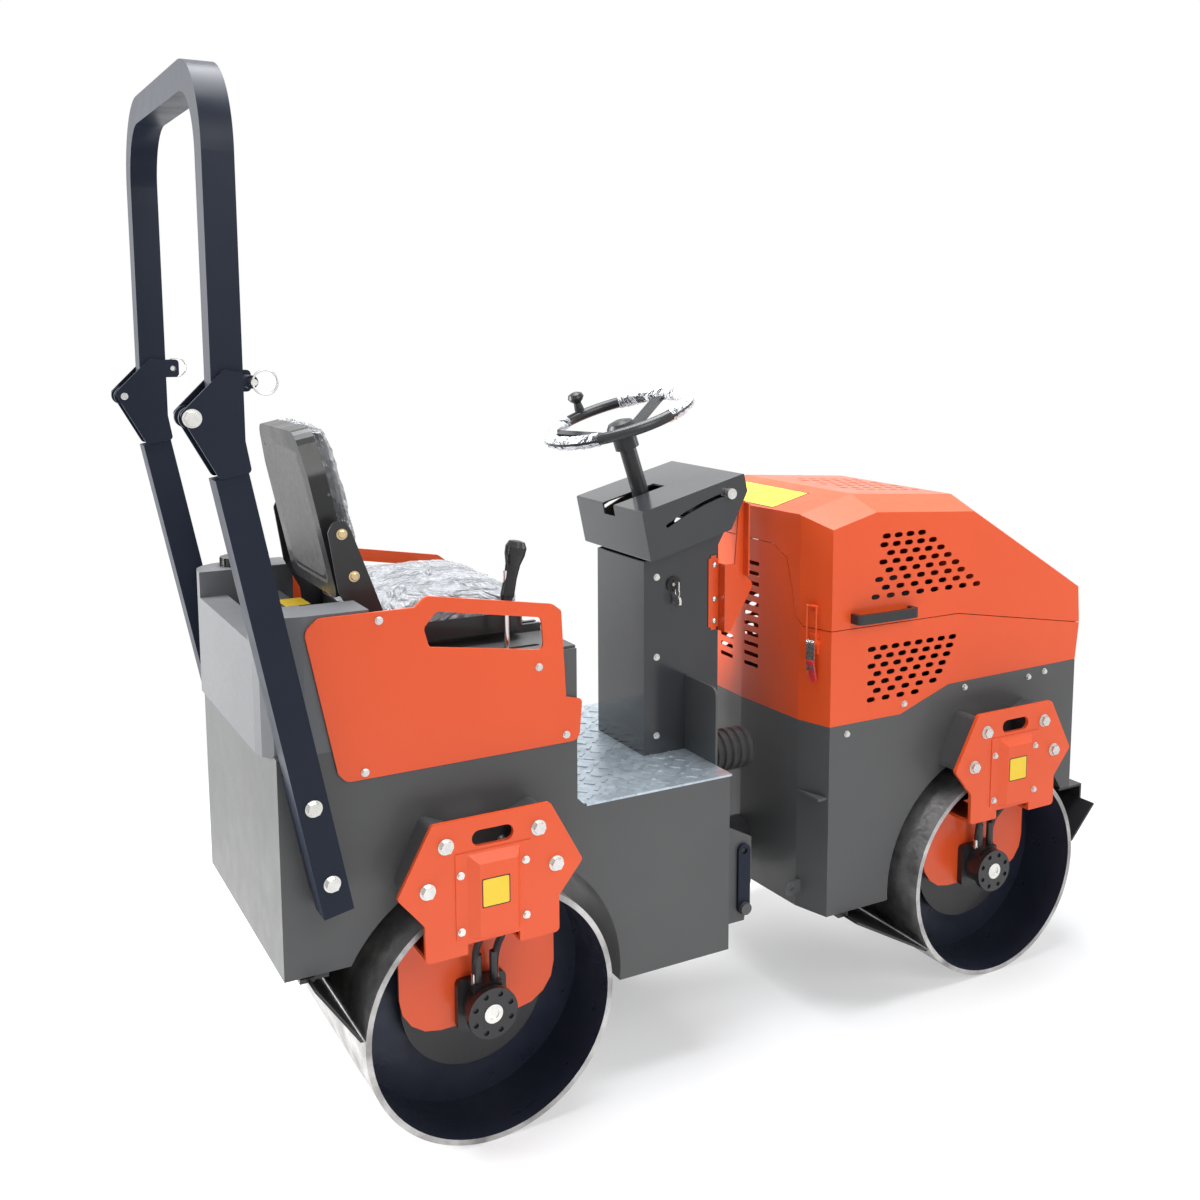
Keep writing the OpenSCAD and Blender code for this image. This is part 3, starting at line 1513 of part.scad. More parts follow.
module lower_hood() {
  color("orangered")
    placed() {
      difference() {
        intersection() {
          hood_shell();
          union() {
            below_seam(0);
            tongue(0);
          }
        }
        both_sides()
          slab_y(-half_w - cut, hood_t + 2 * cut) perforations(lower_rows, lower_perf_z);
        louvres();
      }
      both_sides()
        latch_place() {
          block(0, latch_base_t, -latch_w / 2, latch_w / 2, latch_z - latch_base_h / 2, latch_z + latch_base_h / 3);
          translate([latch_reach, 0, latch_z]) rod_y(latch_pin_d, -latch_w / 2 - latch_wire, latch_w / 2 + latch_wire);
          for (side = [-1, 1]) {
            block(0, latch_reach, side * (latch_w / 2 + latch_wire / 2) - latch_wire / 2,
              side * (latch_w / 2 + latch_wire / 2) + latch_wire / 2,
              latch_z - latch_pin_d, latch_z + latch_pin_d);
            translate([latch_reach, side * (latch_w / 2 + latch_wire / 2), 0])
              rod_z(latch_wire, latch_z, catch_z + catch_h);
          }
          translate([latch_reach, 0, catch_z + catch_h])
            rod_y(latch_wire, -latch_w / 2 - latch_wire, latch_w / 2 + latch_wire);
        }
      // Hinge tabs under the nose
      both_sides()
        nose_hinge(0);
    }
}

nose_hinge_out = 7;
nose_hinge_x = nose_tip_x + nose_hinge_out;
nose_hinge_z = nose_seam_z;
nose_hinge_d = 6;
nose_knuckle_d = 12;
nose_hinge_y = 180;
nose_hinge_l = 40;

// Half hinge on the nose: part 0 is the lower leaf with the pin, part 1 the upper leaf
module nose_hinge(part) {
  y0 = -nose_hinge_y + part * (nose_hinge_l + fit);
  z0 = part == 0 ? nose_hinge_z - 3 * nose_knuckle_d : nose_hinge_z + seam_gap;
  z1 = part == 0 ? nose_hinge_z : nose_hinge_z + 3 * nose_knuckle_d;
  difference() {
    union() {
      translate([nose_hinge_x, 0, nose_hinge_z]) rod_y(nose_knuckle_d, y0, y0 + nose_hinge_l);
      block(nose_tip_x - nose_knuckle_d / 2, nose_tip_x + 2 * hood_t, y0, y0 + nose_hinge_l, z0, z1);
    }
    if (part == 1)
      translate([nose_hinge_x, 0, nose_hinge_z]) rod_y(nose_hinge_d + 2 * shaft_gap, y0 - cut, y0 + nose_hinge_l + cut);
  }
  if (part == 0)
    translate([nose_hinge_x, 0, nose_hinge_z]) rod_y(nose_hinge_d, y0, y0 + 2 * nose_hinge_l);
}

roof_perf = [5, 3];
roof_perf_x = 420;

// Tilting upper hood with slots in its sides and a field of slots in the roof
module upper_hood() {
  color("orangered")
    placed() {
      difference() {
        hood_shell();
        below_seam(seam_gap);
        tongue(seam_gap);
        both_sides()
          slab_y(-half_w - cut, hood_t + 2 * cut) perforations(upper_rows, upper_perf_z);
        slab_z(roof_z - roof_fall - 3 * hood_t, far / 10)
          for (i = [0 : roof_perf[0]], j = [-roof_perf[1] : roof_perf[1]])
            translate([roof_perf_x + perf_pitch.x * (i + (j % 2 == 0 ? 0 : 0.5)), 2 * perf_pitch.y * j])
              perforation();
      }
      both_sides() {
        latch_place()
          difference() {
            block(0, latch_reach - latch_wire, -latch_w / 3, latch_w / 3, catch_z, catch_z + catch_h);
            block(latch_wire, latch_reach, -latch_w, latch_w, catch_z + latch_wire,
              catch_z + catch_h - latch_wire);
          }
        nose_hinge(1);
      }
    }
}

handle_x = [253, 445];
handle_z = 1013;
handle_w = 24;
handle_reach = 34;
handle_t = 12;

module hood_handles() {
  color("black")
    placed()
      both_sides()
        slab_z(handle_z - handle_w / 2, handle_w)
          translate([0, -half_w - handle_reach])
            difference() {
              polygon(rounded(box_outline(handle_x[0], handle_x[1], 0, handle_reach),
                [handle_t, handle_t, 0, 0]));
              polygon(rounded([[handle_x[0] + handle_t, handle_t], [handle_x[1] - handle_t, handle_t],
                [handle_x[1] - handle_t, handle_reach + cut],
                [handle_x[0] + handle_t, handle_reach + cut]], [handle_t / 2, handle_t / 2, 0, 0]));
            }
}

// Toggle lever of a latch: knuckle, arm and a turned-out grip
module latch() {
  latch_place()
    translate([latch_reach, 0, latch_z])
      difference() {
        union() {
          rod_y(2 * latch_pin_d, -latch_w / 2 + fit, latch_w / 2 - fit);
          block(0, latch_wire, -latch_w / 2 + fit, latch_w / 2 - fit, -latch_lever_l, 0);
          translate([latch_wire / 2, 0, -latch_lever_l])
            rotate([0, 20, 0])
              block(-latch_wire / 2, latch_wire / 2, -latch_w / 2 + fit, latch_w / 2 - fit,
                -latch_lever_l / 3, latch_wire / 2);
        }
        rod_y(latch_pin_d + 2 * shaft_gap, -latch_w, latch_w);
      }
}

module latch_right() {
  color("silver") placed() latch();
}

module latch_left() {
  color("silver") placed() mirror([0, 1, 0]) latch();
}

engine_x = [440, 820];
engine_w = 320;
engine_h = 300;
head_w = 220;
head_h = 110;
fan_d = 300;
fan_x = 846;
fan_t = 16;
fan_hub = 70;
fan_blades = 6;
fan_pitch = 30;
fan_shaft = 20;
pulley_d = 130;
radiator_t = 60;
muffler_d = 110;

// Engine on the deck with its head, muffler, cross rails and radiator
module engine() {
  deck = deck_plate_z + panel_t;
  rail = 50;
  color("darkslategray")
    placed()
      difference() {
        union() {
          for (side = [-1, 1])
            block(frame_rear[0] + rail, engine_x[0] + 2 * rail, side * engine_w / 3 - rail / 2,
              side * engine_w / 3 + rail / 2, engine_z - rail, engine_z);
          block(engine_x[0], engine_x[1], -engine_w / 2, engine_w / 2, engine_z, engine_z + engine_h);
          block(engine_x[0] + rail, engine_x[1] - rail, -head_w / 2, head_w / 2,
            engine_z + engine_h, engine_z + engine_h + head_h);
          translate([0, -engine_w / 3, engine_z + engine_h + muffler_d / 3])
            rod_x(muffler_d, engine_x[0], engine_x[1]);
          translate([0, 0, engine_z + engine_h / 2]) rod_x(pulley_d, engine_x[1] - cut, engine_x[1] + fan_t / 2);
          block(fan_x + 2 * fan_t, fan_x + 2 * fan_t + radiator_t, -fan_d / 2, fan_d / 2,
            radiator_z, radiator_z + fan_d);
          block(frame_rear[0] + rail, frame_rear[0] + 4 * rail, -engine_w / 2, engine_w / 2,
            deck, engine_z - rail);
          for (side = [-1, 1])
            block(engine_x[1] - rail, fan_x + 2 * fan_t + radiator_t / 2, side * (fan_d / 2 + rail / 4) - rail / 4,
              side * (fan_d / 2 + rail / 4) + rail / 4, radiator_z, radiator_z + rail);
        }
        translate([0, 0, engine_z + engine_h / 2])
          rod_x(fan_shaft + 2 * shaft_gap, engine_x[1] - pulley_d, fan_x + fan_t);
      }
}

engine_z = axle_z + arch_r + panel_t + fit;
radiator_z = engine_z + engine_h / 2 - fan_d / 2;

module engine_fan() {
  color("black")
    placed()
      translate([0, 0, engine_z + engine_h / 2]) {
        rod_x(fan_shaft, engine_x[1] - pulley_d + fan_t, fan_x + fan_t);
        rod_x(fan_hub, fan_x, fan_x + fan_t);
        for (i = [0 : fan_blades - 1])
          rotate([i * 360 / fan_blades, 0, 0])
            translate([fan_x + fan_t / 2, 0, 0])
              rotate([0, 0, fan_pitch])
                block(-fan_t / 10, fan_t / 10, -fan_hub / 3, fan_hub / 3, fan_hub / 3, fan_d / 2 - fan_t);
      }
}

// Running gear, made for the axle at x

support_shares = [[0.495, 0], [0.495, 0.278], [0.683, 0.517], [0.433, 1]];
support_size = [300, 288];
support_top = 738;
support_r = 10;
slot_size = [92, 34];
slot_drop = 45;
cover_w = 166;
raised_w = 122;
flange_t = 2;
cover_z = [486, 668];
cover_t = 14;
cover_bevel = 26;
notch_w = 116;
notch_h = 22;
leg_w = 85;
leg_t = 8;
big_bolt = 16;
big_bolts = [[102, 689], [142, 603]];
small_bolt = 8;
small_bolts = [[-72, 622], [72, 626], [-72, 502], [72, 506]];
carrier_y = 292;
carrier_t = 8;
carrier_w = 358;
carrier_low = 229;
carrier_r = 90;

module plate_outline() {
  right = [for (s = support_shares) [s.x * support_size.x, support_top - support_size.y * (1 - s.y)]];
  left = [for (i = [len(right) - 1 : -1 : 0]) [-right[i].x, right[i].y]];
  polygon(rounded(concat(right, left), support_r));
}

// Outer plate with lifting slot, raised cover and the flanges that reach into the drum
module support_plates(x) {
  low_z = support_top - support_size.y;
  y = -arm_end - plate_t;
  placed()
    translate([x, 0, 0])
      both_sides() {
        difference() {
          slab_y(y, plate_t) plate_outline();
          slab_y(y - cut, plate_t + 2 * cut)
            translate([0, support_top - slot_drop])
              polygon(rounded(box_outline(-slot_size.x / 2, slot_size.x / 2, -slot_size.y / 2,
                slot_size.y / 2), slot_size.y / 2 - fit));
          slab_y(y - cut, plate_t + 2 * cut)
            translate([-notch_w / 2, low_z - cut]) square([notch_w, notch_h + cut]);
        }
        // Cover: a thin flange whose middle is raised, with bevels at the top and both sides
        block(-cover_w / 2, cover_w / 2, y - flange_t, y, cover_z[0], cover_z[1]);
        intersection() {
          slab_x(-raised_w / 2, raised_w)
            polygon([[y, cover_z[0]], [y, cover_z[1] - flange_t], [y - cover_t, cover_z[1] - cover_bevel],
              [y - cover_t, cover_z[0]]]);
          slab_z(cover_z[0], cover_z[1] - cover_z[0])
            polygon([[-raised_w / 2, y], [-raised_w / 2 + cover_bevel, y - cover_t],
              [raised_w / 2 - cover_bevel / 2, y - cover_t], [raised_w / 2, y]]);
        }
        // Flanges from the legs to the carrier plate
        for (side = [-1, 1])
          block(side > 0 ? notch_w / 2 : -notch_w / 2 - leg_w, side > 0 ? notch_w / 2 + leg_w : -notch_w / 2,
            -arm_end, -carrier_y - carrier_t, low_z, low_z + leg_t);
      }
}

carrier_hole = 110;
motor_bolt_d = 12;
motor_flange = 112;
motor_flange_t = 18;
motor_d = 92;
motor_cap_d = 112;
motor_cap_t = 16;
motor_inset = 10;
motor_end = drum_w / 2 - motor_inset;
motor_ring = [42, 24];
motor_bolts = 8;
motor_bolt_r = 43;
axle_d = 40;

// Carrier plates inside the rims that hold the motors
module motor_plates(x) {
  low_z = support_top - support_size.y;
  placed()
    translate([x, 0, 0])
      both_sides()
        difference() {
          slab_y(-carrier_y - carrier_t, carrier_t)
            polygon(rounded([[-carrier_w / 2, carrier_low], [carrier_w / 2, carrier_low],
              [carrier_w / 2, low_z - 2 * leg_t], [notch_w / 2 + leg_w, low_z + leg_t],
              [-notch_w / 2 - leg_w, low_z + leg_t], [-carrier_w / 2, low_z - 2 * leg_t]],
              [carrier_r, carrier_r, 0, 0, 0, 0]));
          translate([0, 0, axle_z]) rod_y(carrier_hole * 0.6, -carrier_y - carrier_t - cut, 0);
          for (a = [45 : 90 : 315])
            rotate_about_axle(a)
              translate([0, 0, motor_flange * 0.58])
                rod_y(motor_bolt_d, -carrier_y - carrier_t - cut, 0);
        }
}

// Turns a shape about the drum's axis
module rotate_about_axle(angle) {
  translate([0, 0, axle_z]) rotate([0, angle, 0]) children();
}

// Hydraulic motors: square flange, barrel and a bolted end cap
module drum_motors(x) {
  y = -carrier_y - carrier_t;
  placed()
    translate([x, 0, 0])
      both_sides() {
        difference() {
          union() {
            slab_y(y - motor_flange_t, motor_flange_t)
              translate([0, axle_z])
                polygon(rounded(box_outline(-motor_flange / 2, motor_flange / 2, -motor_flange / 2,
                  motor_flange / 2), motor_bolt_d));
            translate([0, 0, axle_z]) {
              rod_y(motor_d, -motor_end + motor_cap_t, y);
              rod_y(motor_cap_d, -motor_end, -motor_end + motor_cap_t);
            }
          }
          translate([0, 0, axle_z]) rod_y(axle_d + 2 * shaft_gap, y - 2 * motor_flange_t, 0);
          for (i = [0 : motor_bolts - 1])
            rotate_about_axle(i * 360 / motor_bolts + 22.5)
              translate([0, 0, motor_bolt_r]) rod_y(motor_bolt_d, -motor_end - cut, -motor_end + motor_cap_t / 3);
          translate([0, 0, axle_z]) rod_y(motor_ring[0], -motor_end - cut, -motor_end + motor_cap_t / 8);
        }
        // Port block with two hose elbows
        block(-motor_d / 3, motor_d / 3, -motor_end + motor_cap_t * 1.5, y - motor_flange_t - cut,
          axle_z + motor_d / 3, axle_z + motor_d * 0.62);
        for (side = [-1, 1])
          translate([side * motor_d / 5, (y - motor_end) / 2, 0])
            rod_z(motor_d / 5, axle_z + motor_d / 2, axle_z + motor_d * 1.3);
      }
}

scraper_t = 6;
scraper_clear = 10;
scraper_w = drum_w - scraper_clear;
scraper_gap = 1.5;
bar_h = 40;
rear_foot_back = 372;
front_foot_ahead = 58;

// Blade along the drum from a foot to a point near its surface at an angle
module scraper(x, foot, angle) {
  edge = [x, axle_z] + (axle_z + scraper_gap) * [cos(angle), sin(angle)];
  run = edge - foot;
  away = cross(run, [x, axle_z] - foot) > 0 ? -1 : 1;
  side = away * scraper_t * [-run.y, run.x] / norm(run);
  slab_y(-scraper_w / 2, scraper_w)
    polygon([foot, edge, edge + side - run / norm(run) * scraper_t, foot + side]);
}

module hanger(x0, x1, z0, z1) {
  both_sides() block(x0, x1, -half_w + panel_t, -half_w + 2 * panel_t, z0, z1);
}

module rear_scraper() {
  foot = [-axle_x - rear_foot_back, tail_z - scraper_t];
  color("black")
    placed() {
      scraper(-axle_x, foot, 175.9);
      hanger(foot.x - bar_h / 2, foot.x + bar_h, tail_z - 2 * scraper_t, tail_z);
      block(foot.x - bar_h / 2, foot.x + bar_h / 4, -half_w, half_w, tail_z - 2 * scraper_t, tail_z - scraper_t / 2);
    }
}

module front_scrapers() {
  back_foot = [frame_rear[0] + front_foot_ahead, front_belly_z - scraper_t];
  nose_foot = [nose_x - scraper_t, tail_z - bar_h];
  color("black")
    placed() {
      scraper(axle_x, back_foot, 215.4);
      block(back_foot.x - bar_h / 2, back_foot.x + bar_h / 4, -half_w, half_w,
        front_belly_z - 2 * scraper_t, front_belly_z);
      scraper(axle_x, nose_foot, 5.3);
      block(front_x - bar_h, nose_x, -half_w, half_w, tail_z - scraper_t, tail_z);
      block(nose_x - scraper_t, nose_x, -half_w, half_w, nose_foot.y - scraper_t, tail_z - scraper_t);
    }
}

web_y = 232;
web_t = 12;
web_hole = 150;
disc_d = 330;
disc_t = 12;
mount_d = 52;
mount_len = 24;
mounts_each = 6;
mount_ring = 120;
tube_d = 90;

// Rolled shell with two inner webs
module drum_shell(x) {
  placed()
    translate([x, 0, axle_z])
      difference() {
        union() {
          difference() {
            rod_y(drum_od, -drum_w / 2, drum_w / 2);
            rod_y(drum_od - 2 * drum_wall, -drum_w / 2 - cut, drum_w / 2 + cut);
          }
          both_sides() rod_y(drum_od - drum_wall, -web_y, -web_y + web_t);
        }
        rod_y(web_hole, -drum_w, drum_w);
      }
}

// Drive discs on the ends of the exciter tube, with the stub shafts for the motors
module drum_hub(x) {
  disc_y = -web_y - mount_len;
  placed()
    translate([x, 0, axle_z]) {
      rod_y(tube_d, disc_y, -disc_y);
      both_sides() {
        rod_y(disc_d, disc_y - disc_t, disc_y);
        rod_y(axle_d, -carrier_y - carrier_t - motor_flange_t, disc_y);
      }
    }
}

// Rubber buffers between the drive discs and the webs
module rubber_mounts(x) {
  placed()
    translate([x, 0, axle_z])
      both_sides()
        for (i = [0 : mounts_each - 1])
          rotate([0, i * 360 / mounts_each, 0])
            translate([0, 0, mount_ring]) rod_y(mount_d, -web_y - mount_len, -web_y);
}

module rear_support_plates() { color("orangered") support_plates(-axle_x - plate_shift); }
module front_support_plates() { color("orangered") support_plates(axle_x + plate_shift); }
module rear_motor_plates() { color("orangered") motor_plates(-axle_x); }
module front_motor_plates() { color("orangered") motor_plates(axle_x); }
module rear_drum_motors() { color("black") drum_motors(-axle_x); }
module front_drum_motors() { color("black") drum_motors(axle_x); }
module rear_drum_shell() { color("silver") drum_shell(-axle_x); }
module front_drum_shell() { color("silver") drum_shell(axle_x); }
module rear_drum_hub() { color("dimgray") drum_hub(-axle_x); }
module front_drum_hub() { color("dimgray") drum_hub(axle_x); }
module rear_rubber_mounts() { color("black") rubber_mounts(-axle_x); }
module front_rubber_mounts() { color("black") rubber_mounts(axle_x); }

// Fasteners

// Bolts of one pair of support plates
module plate_bolts(x, shift) {
  for (p = big_bolts, side = [-1, 1])
    translate([x + shift + side * p.x, 0, p.y]) bolt_out(big_bolt, -arm_end - plate_t);
  for (p = small_bolts)
    translate([x + shift + p.x, 0, p.y]) bolt_out(small_bolt, -arm_end - plate_t - flange_t);
  translate([x, 0, axle_z])
    difference() {
      rod_y(motor_ring[0] - joint_gap, -motor_end - motor_cap_t / 8, -motor_end + motor_cap_t / 8);
      rod_y(motor_ring[1], -motor_end - motor_cap_t, -motor_end);
    }
}

guard_bolts = [[-438, 107], [-92, -34], [-29, -192], [-474, -198]];
m8 = 8;

module rear_fasteners() {
  color("silver")
    placed() {
      both_sides() {
        plate_bolts(-axle_x, -plate_shift);
        for (p = guard_bolts)
          translate([seat_front_x + p.x, 0, box_z + p.y]) bolt_out(m8, -half_w - guard_t);
        for (z = post_bolt_z)
          post_place(0)
            translate([0, 0, z]) {
              bolt_out(pivot_d, -post_y0 - post_w);
              rod_y(pivot_d, -post_y0 - post_w, -half_w);
            }
        translate([pivot_x, 0, pivot_z]) {
          rod_y(pivot_d, -post_y0 - post_w - bracket_t, -post_y0 + bracket_t);
          bolt_out(pivot_d, -post_y0 - post_w - bracket_t);
        }
      }
      for (z = tower_bolts)
        translate([tower_bolt_x, 0, z]) bolt_out(m8, -console_w / 2);
    }
}

sill_bolts = [[866, -26], [926, -19], [635, -22], [430, -36], [248, -24]];

module front_fasteners() {
  color("silver")
    placed()
      both_sides() {
        plate_bolts(axle_x, plate_shift);
        for (p = sill_bolts)
          translate([p.x, 0, sill_z[p.x < sill_x[0] ? 0 : 2] + p.y]) bolt_out(m8, -half_w);
      }
}

rear_frame();
floor_plate();
toe_board();
seat_deck();
rear_water_tank();
tank_cap();
side_guard_right();
side_guard_left();
roll_bar_posts();
roll_bar_brackets();
rear_fasteners();
roll_bar_hoop();
lock_pin_right();
lock_pin_left();
console_tower();
console_bracket();
ignition_switch();
ignition_key();
dash_cover();
dash_knob();
steering_column();
steering_wheel();
spinner_knob();
seat_rails();
seat_pan();
seat_cushion();
seat_back_shell();
seat_back_cushion();
drive_lever();
lever_grip();
rear_yoke();
centre_joint();
steering_barrel();
steering_rod();
lock_bar();
front_frame();
lower_hood();
upper_hood();
hood_handles();
latch_right();
latch_left();
engine();
engine_fan();
air_duct();
front_fasteners();
rear_support_plates();
rear_motor_plates();
rear_drum_motors();
rear_scraper();
rear_drum_shell();
rear_drum_hub();
rear_rubber_mounts();
front_support_plates();
front_motor_plates();
front_drum_motors();
front_scrapers();
front_drum_shell();
front_drum_hub();
front_rubber_mounts();
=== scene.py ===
# %% [markdown]
# # A ride-on double-drum roller
# This lesson dresses a finished CAD model of a small ride-on roller. The CAD model brings the steel:
# drums, frames, hood, console and roll bar, each in its place and on its own joint. Blender brings
# what CAD can't show: paint, worn steel, soft seats, hoses, clear film and light.
# Every length here is in metres, in the CAD model's own frame: X forward, Y to the left, Z up.

# %% Load the model
import json
from math import cos, pi, radians, sin, sqrt

import bmesh
import bpy
from mathutils import Matrix, Vector, noise


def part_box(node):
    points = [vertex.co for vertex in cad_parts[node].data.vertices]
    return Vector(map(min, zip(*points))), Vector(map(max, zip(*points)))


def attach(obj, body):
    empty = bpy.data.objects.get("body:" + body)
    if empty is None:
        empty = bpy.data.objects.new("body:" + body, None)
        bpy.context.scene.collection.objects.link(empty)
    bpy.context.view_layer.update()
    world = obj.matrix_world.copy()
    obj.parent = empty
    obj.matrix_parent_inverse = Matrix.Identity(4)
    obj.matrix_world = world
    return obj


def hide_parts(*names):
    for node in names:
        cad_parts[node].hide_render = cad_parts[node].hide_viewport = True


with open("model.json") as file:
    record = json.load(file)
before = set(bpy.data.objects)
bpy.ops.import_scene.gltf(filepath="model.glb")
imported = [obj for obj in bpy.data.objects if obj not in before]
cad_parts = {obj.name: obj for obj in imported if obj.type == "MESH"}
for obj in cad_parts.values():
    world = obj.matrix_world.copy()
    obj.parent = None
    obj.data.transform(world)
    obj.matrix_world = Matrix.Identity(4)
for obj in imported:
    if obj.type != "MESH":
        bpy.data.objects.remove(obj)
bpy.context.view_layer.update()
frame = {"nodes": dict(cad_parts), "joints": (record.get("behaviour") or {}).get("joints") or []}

nodes = frame["nodes"]
turning = next(j for j in frame["joints"] if j["name"] == "wheel_turn")
back_fold = Vector(next(j for j in frame["joints"] if j["name"] == "backrest_fold")["pos_m"])

# %% [markdown]
# ## The camera
# The picture was taken from the right, a little behind the middle, from about head height. Three axes
# of the machine fix where such a camera stands: its place, the way it looks, and how long its lens is.
# The camera's own axes are its right, its up and its backward direction, so they go straight into a
# matrix as columns. The shift moves the frame without tilting the upright lines. The focal length and
# the middle of the image are counted in pixels of a square picture.

# %% Set the camera
image_side = 1200
focal_length = 1311.7
image_middle = (666.45, 491.22)
camera_place = (-1.6276, -2.8123, 1.7373)
camera_data = bpy.data.cameras.new("camera")
camera_data.sensor_width = 36
camera_data.lens = focal_length / image_side * camera_data.sensor_width
camera_data.shift_x = (image_side / 2 - image_middle[0]) / image_side
camera_data.shift_y = (image_middle[1] - image_side / 2) / image_side
camera = bpy.data.objects.new("camera", camera_data)
bpy.context.scene.collection.objects.link(camera)

heading, pitch, roll = radians(30.546), radians(7.448), radians(0.128)
look = Vector((sin(heading) * cos(pitch), cos(heading) * cos(pitch), -sin(pitch)))
level_right = Vector((cos(heading), -sin(heading), 0))
level_up = level_right.cross(look)
right = level_right * cos(roll) + level_up * sin(roll)
up = right.cross(look)
turn = Matrix((right, up, -look)).transposed()
camera.matrix_world = Matrix.Translation(camera_place) @ turn.to_4x4()
bpy.context.scene.camera = camera
print("lens:", round(camera_data.lens, 2), "mm")

# %% [markdown]
# ## Floor, background and light
# A studio sweep is a floor that fades into a pale wall. Here the floor is one large plane that turns
# white with distance, so only the soft shadow near the drums stays on it, and the world is plain
# white where the camera, a mirror or a glass sees it. The object itself is lit by a softer, dimmer
# world and four big lamps, so colours render about as they are written.

# %% Make the floor and the world
def link_object(name, mesh):
    """A new object that shows the mesh."""
    made = bpy.data.objects.new(name, mesh)
    bpy.context.scene.collection.objects.link(made)
    return made

def surface(name, verts, faces, coat, smooth=False):
    """A new object made from a list of points and a list of faces."""
    mesh = bpy.data.meshes.new(name)
    mesh.from_pydata(verts, [], faces)
    for f in mesh.polygons:
        f.use_smooth = smooth
    mesh.materials.append(coat)
    return link_object(name, mesh)

def from_bmesh(name, shape, coat):
    """A new object from a bmesh, which is freed."""
    mesh = bpy.data.meshes.new(name)
    shape.to_mesh(mesh)
    shape.free()
    mesh.materials.append(coat)
    return link_object(name, mesh)

def between_rings(rings, sides, closed=False, seam=False):
    """Faces between rings of points that follow each other; a seam leaves each ring open."""
    faces = []
    for i in range(rings if closed else rings - 1):
        here, there = i * sides, (i + 1) % rings * sides
        for k in range(sides - 1 if seam else sides):
            m = (k + 1) % sides
            faces.append((here + k, here + m, there + m, there + k))
    return faces

def end_caps(rings, sides):
    """The two faces that close the first and the last ring."""
    return [tuple(reversed(range(sides))), tuple(range((rings - 1) * sides, rings * sides))]

floor_mesh = bpy.data.meshes.new("floor")
reach = 14
floor_mesh.from_pydata([(-reach, -reach, 0), (reach, -reach, 0), (reach, reach, 0), (-reach, reach, 0)],
                       [], [(0, 1, 2, 3)])
floor = link_object("floor", floor_mesh)
floor_gap = 0.0005
floor.location.z = -floor_gap

def seen_directly(tree):
    """A factor that is 1 for camera, mirror and glass rays and 0 for the light that falls on things."""
    path = tree.nodes.new("ShaderNodeLightPath")
    first = tree.nodes.new("ShaderNodeMath")
    second = tree.nodes.new("ShaderNodeMath")
    first.operation = second.operation = "MAXIMUM"
    tree.links.new(path.outputs["Is Camera Ray"], first.inputs[0])
    tree.links.new(path.outputs["Is Glossy Ray"], first.inputs[1])
    tree.links.new(first.outputs[0], second.inputs[0])
    tree.links.new(path.outputs["Is Transmission Ray"], second.inputs[1])
    return second.outputs[0]

world = bpy.data.worlds.new("studio")
bpy.context.scene.world = world
world.use_nodes = True
tree = world.node_tree
background = tree.nodes["Background"]
shade = tree.nodes.new("ShaderNodeMix")
shade.data_type = "RGBA"
tree.links.new(seen_directly(tree), shade.inputs[0])
shade.inputs[6].default_value = (0.30, 0.32, 0.36, 1)
shade.inputs[7].default_value = (1, 1, 1, 1)
tree.links.new(shade.outputs[2], background.inputs["Color"])
background.inputs["Strength"].default_value = 1

# %% Colour the floor
pale = bpy.data.materials.new("pale_floor")
pale.use_nodes = True
tree = pale.node_tree
grey_floor = tree.nodes["Principled BSDF"]
grey_floor.inputs["Base Color"].default_value = (0.9, 0.9, 0.9, 1)
grey_floor.inputs["Roughness"].default_value = 0.75
grey_floor.inputs["Specular IOR Level"].default_value = 0.2
floor_mesh.materials.append(pale)

def add_node(tree, kind, **values):
    """A new node with some of its inputs set by name."""
    made = tree.nodes.new(kind)
    for name, value in values.items():
        made.inputs[name.replace("_", " ")].default_value = value
    return made

where = tree.nodes.new("ShaderNodeTexCoord")
apart = tree.nodes.new("ShaderNodeVectorMath")
apart.operation = "LENGTH"
fade = add_node(tree, "ShaderNodeMapRange", From_Min=1.3, From_Max=2.6, To_Min=0.42, To_Max=1)
fade.interpolation_type = "SMOOTHSTEP"
seen_white = tree.nodes.new("ShaderNodeMath")
seen_white.operation = "MULTIPLY"
white = add_node(tree, "ShaderNodeEmission", Color=(1, 1, 1, 1), Strength=1)
sweep = tree.nodes.new("ShaderNodeMixShader")
tree.links.new(where.outputs["Object"], apart.inputs[0])
tree.links.new(apart.outputs["Value"], fade.inputs["Value"])
tree.links.new(fade.outputs[0], seen_white.inputs[0])
tree.links.new(seen_directly(tree), seen_white.inputs[1])
tree.links.new(seen_white.outputs[0], sweep.inputs["Fac"])
tree.links.new(grey_floor.outputs[0], sweep.inputs[1])
tree.links.new(white.outputs[0], sweep.inputs[2])
tree.links.new(sweep.outputs[0], tree.nodes["Material Output"].inputs["Surface"])

# %% Hang the lamps
def lamp(name, place, target, size, power, colour):
    data = bpy.data.lights.new(name, "AREA")
    data.shape = "DISK"
    data.size = size
    data.energy = power
    data.color = colour
    made = bpy.data.objects.new(name, data)
    made.location = place
    made.rotation_euler = (Vector(target) - Vector(place)).to_track_quat("-Z", "Y").to_euler()
    bpy.context.scene.collection.objects.link(made)

lamp("key", (0.4, -5.4, 4.2), (0, 0, 0.8), 3.4, 140, (1, 0.98, 0.95))
lamp("top", (0.2, 0.4, 5.4), (0, 0, 0.9), 4.0, 430, (0.97, 0.98, 1))
lamp("rear", (-5.2, 2.6, 2.2), (-0.7, 0, 0.8), 3.6, 680, (1, 0.99, 0.98))
lamp("front", (5.0, -1.6, 2.6), (0.4, 0, 0.9), 2.4, 60, (1, 0.98, 0.95))
bpy.context.scene.view_settings.view_transform = "Standard"
print("lamps:", len(bpy.data.lights))

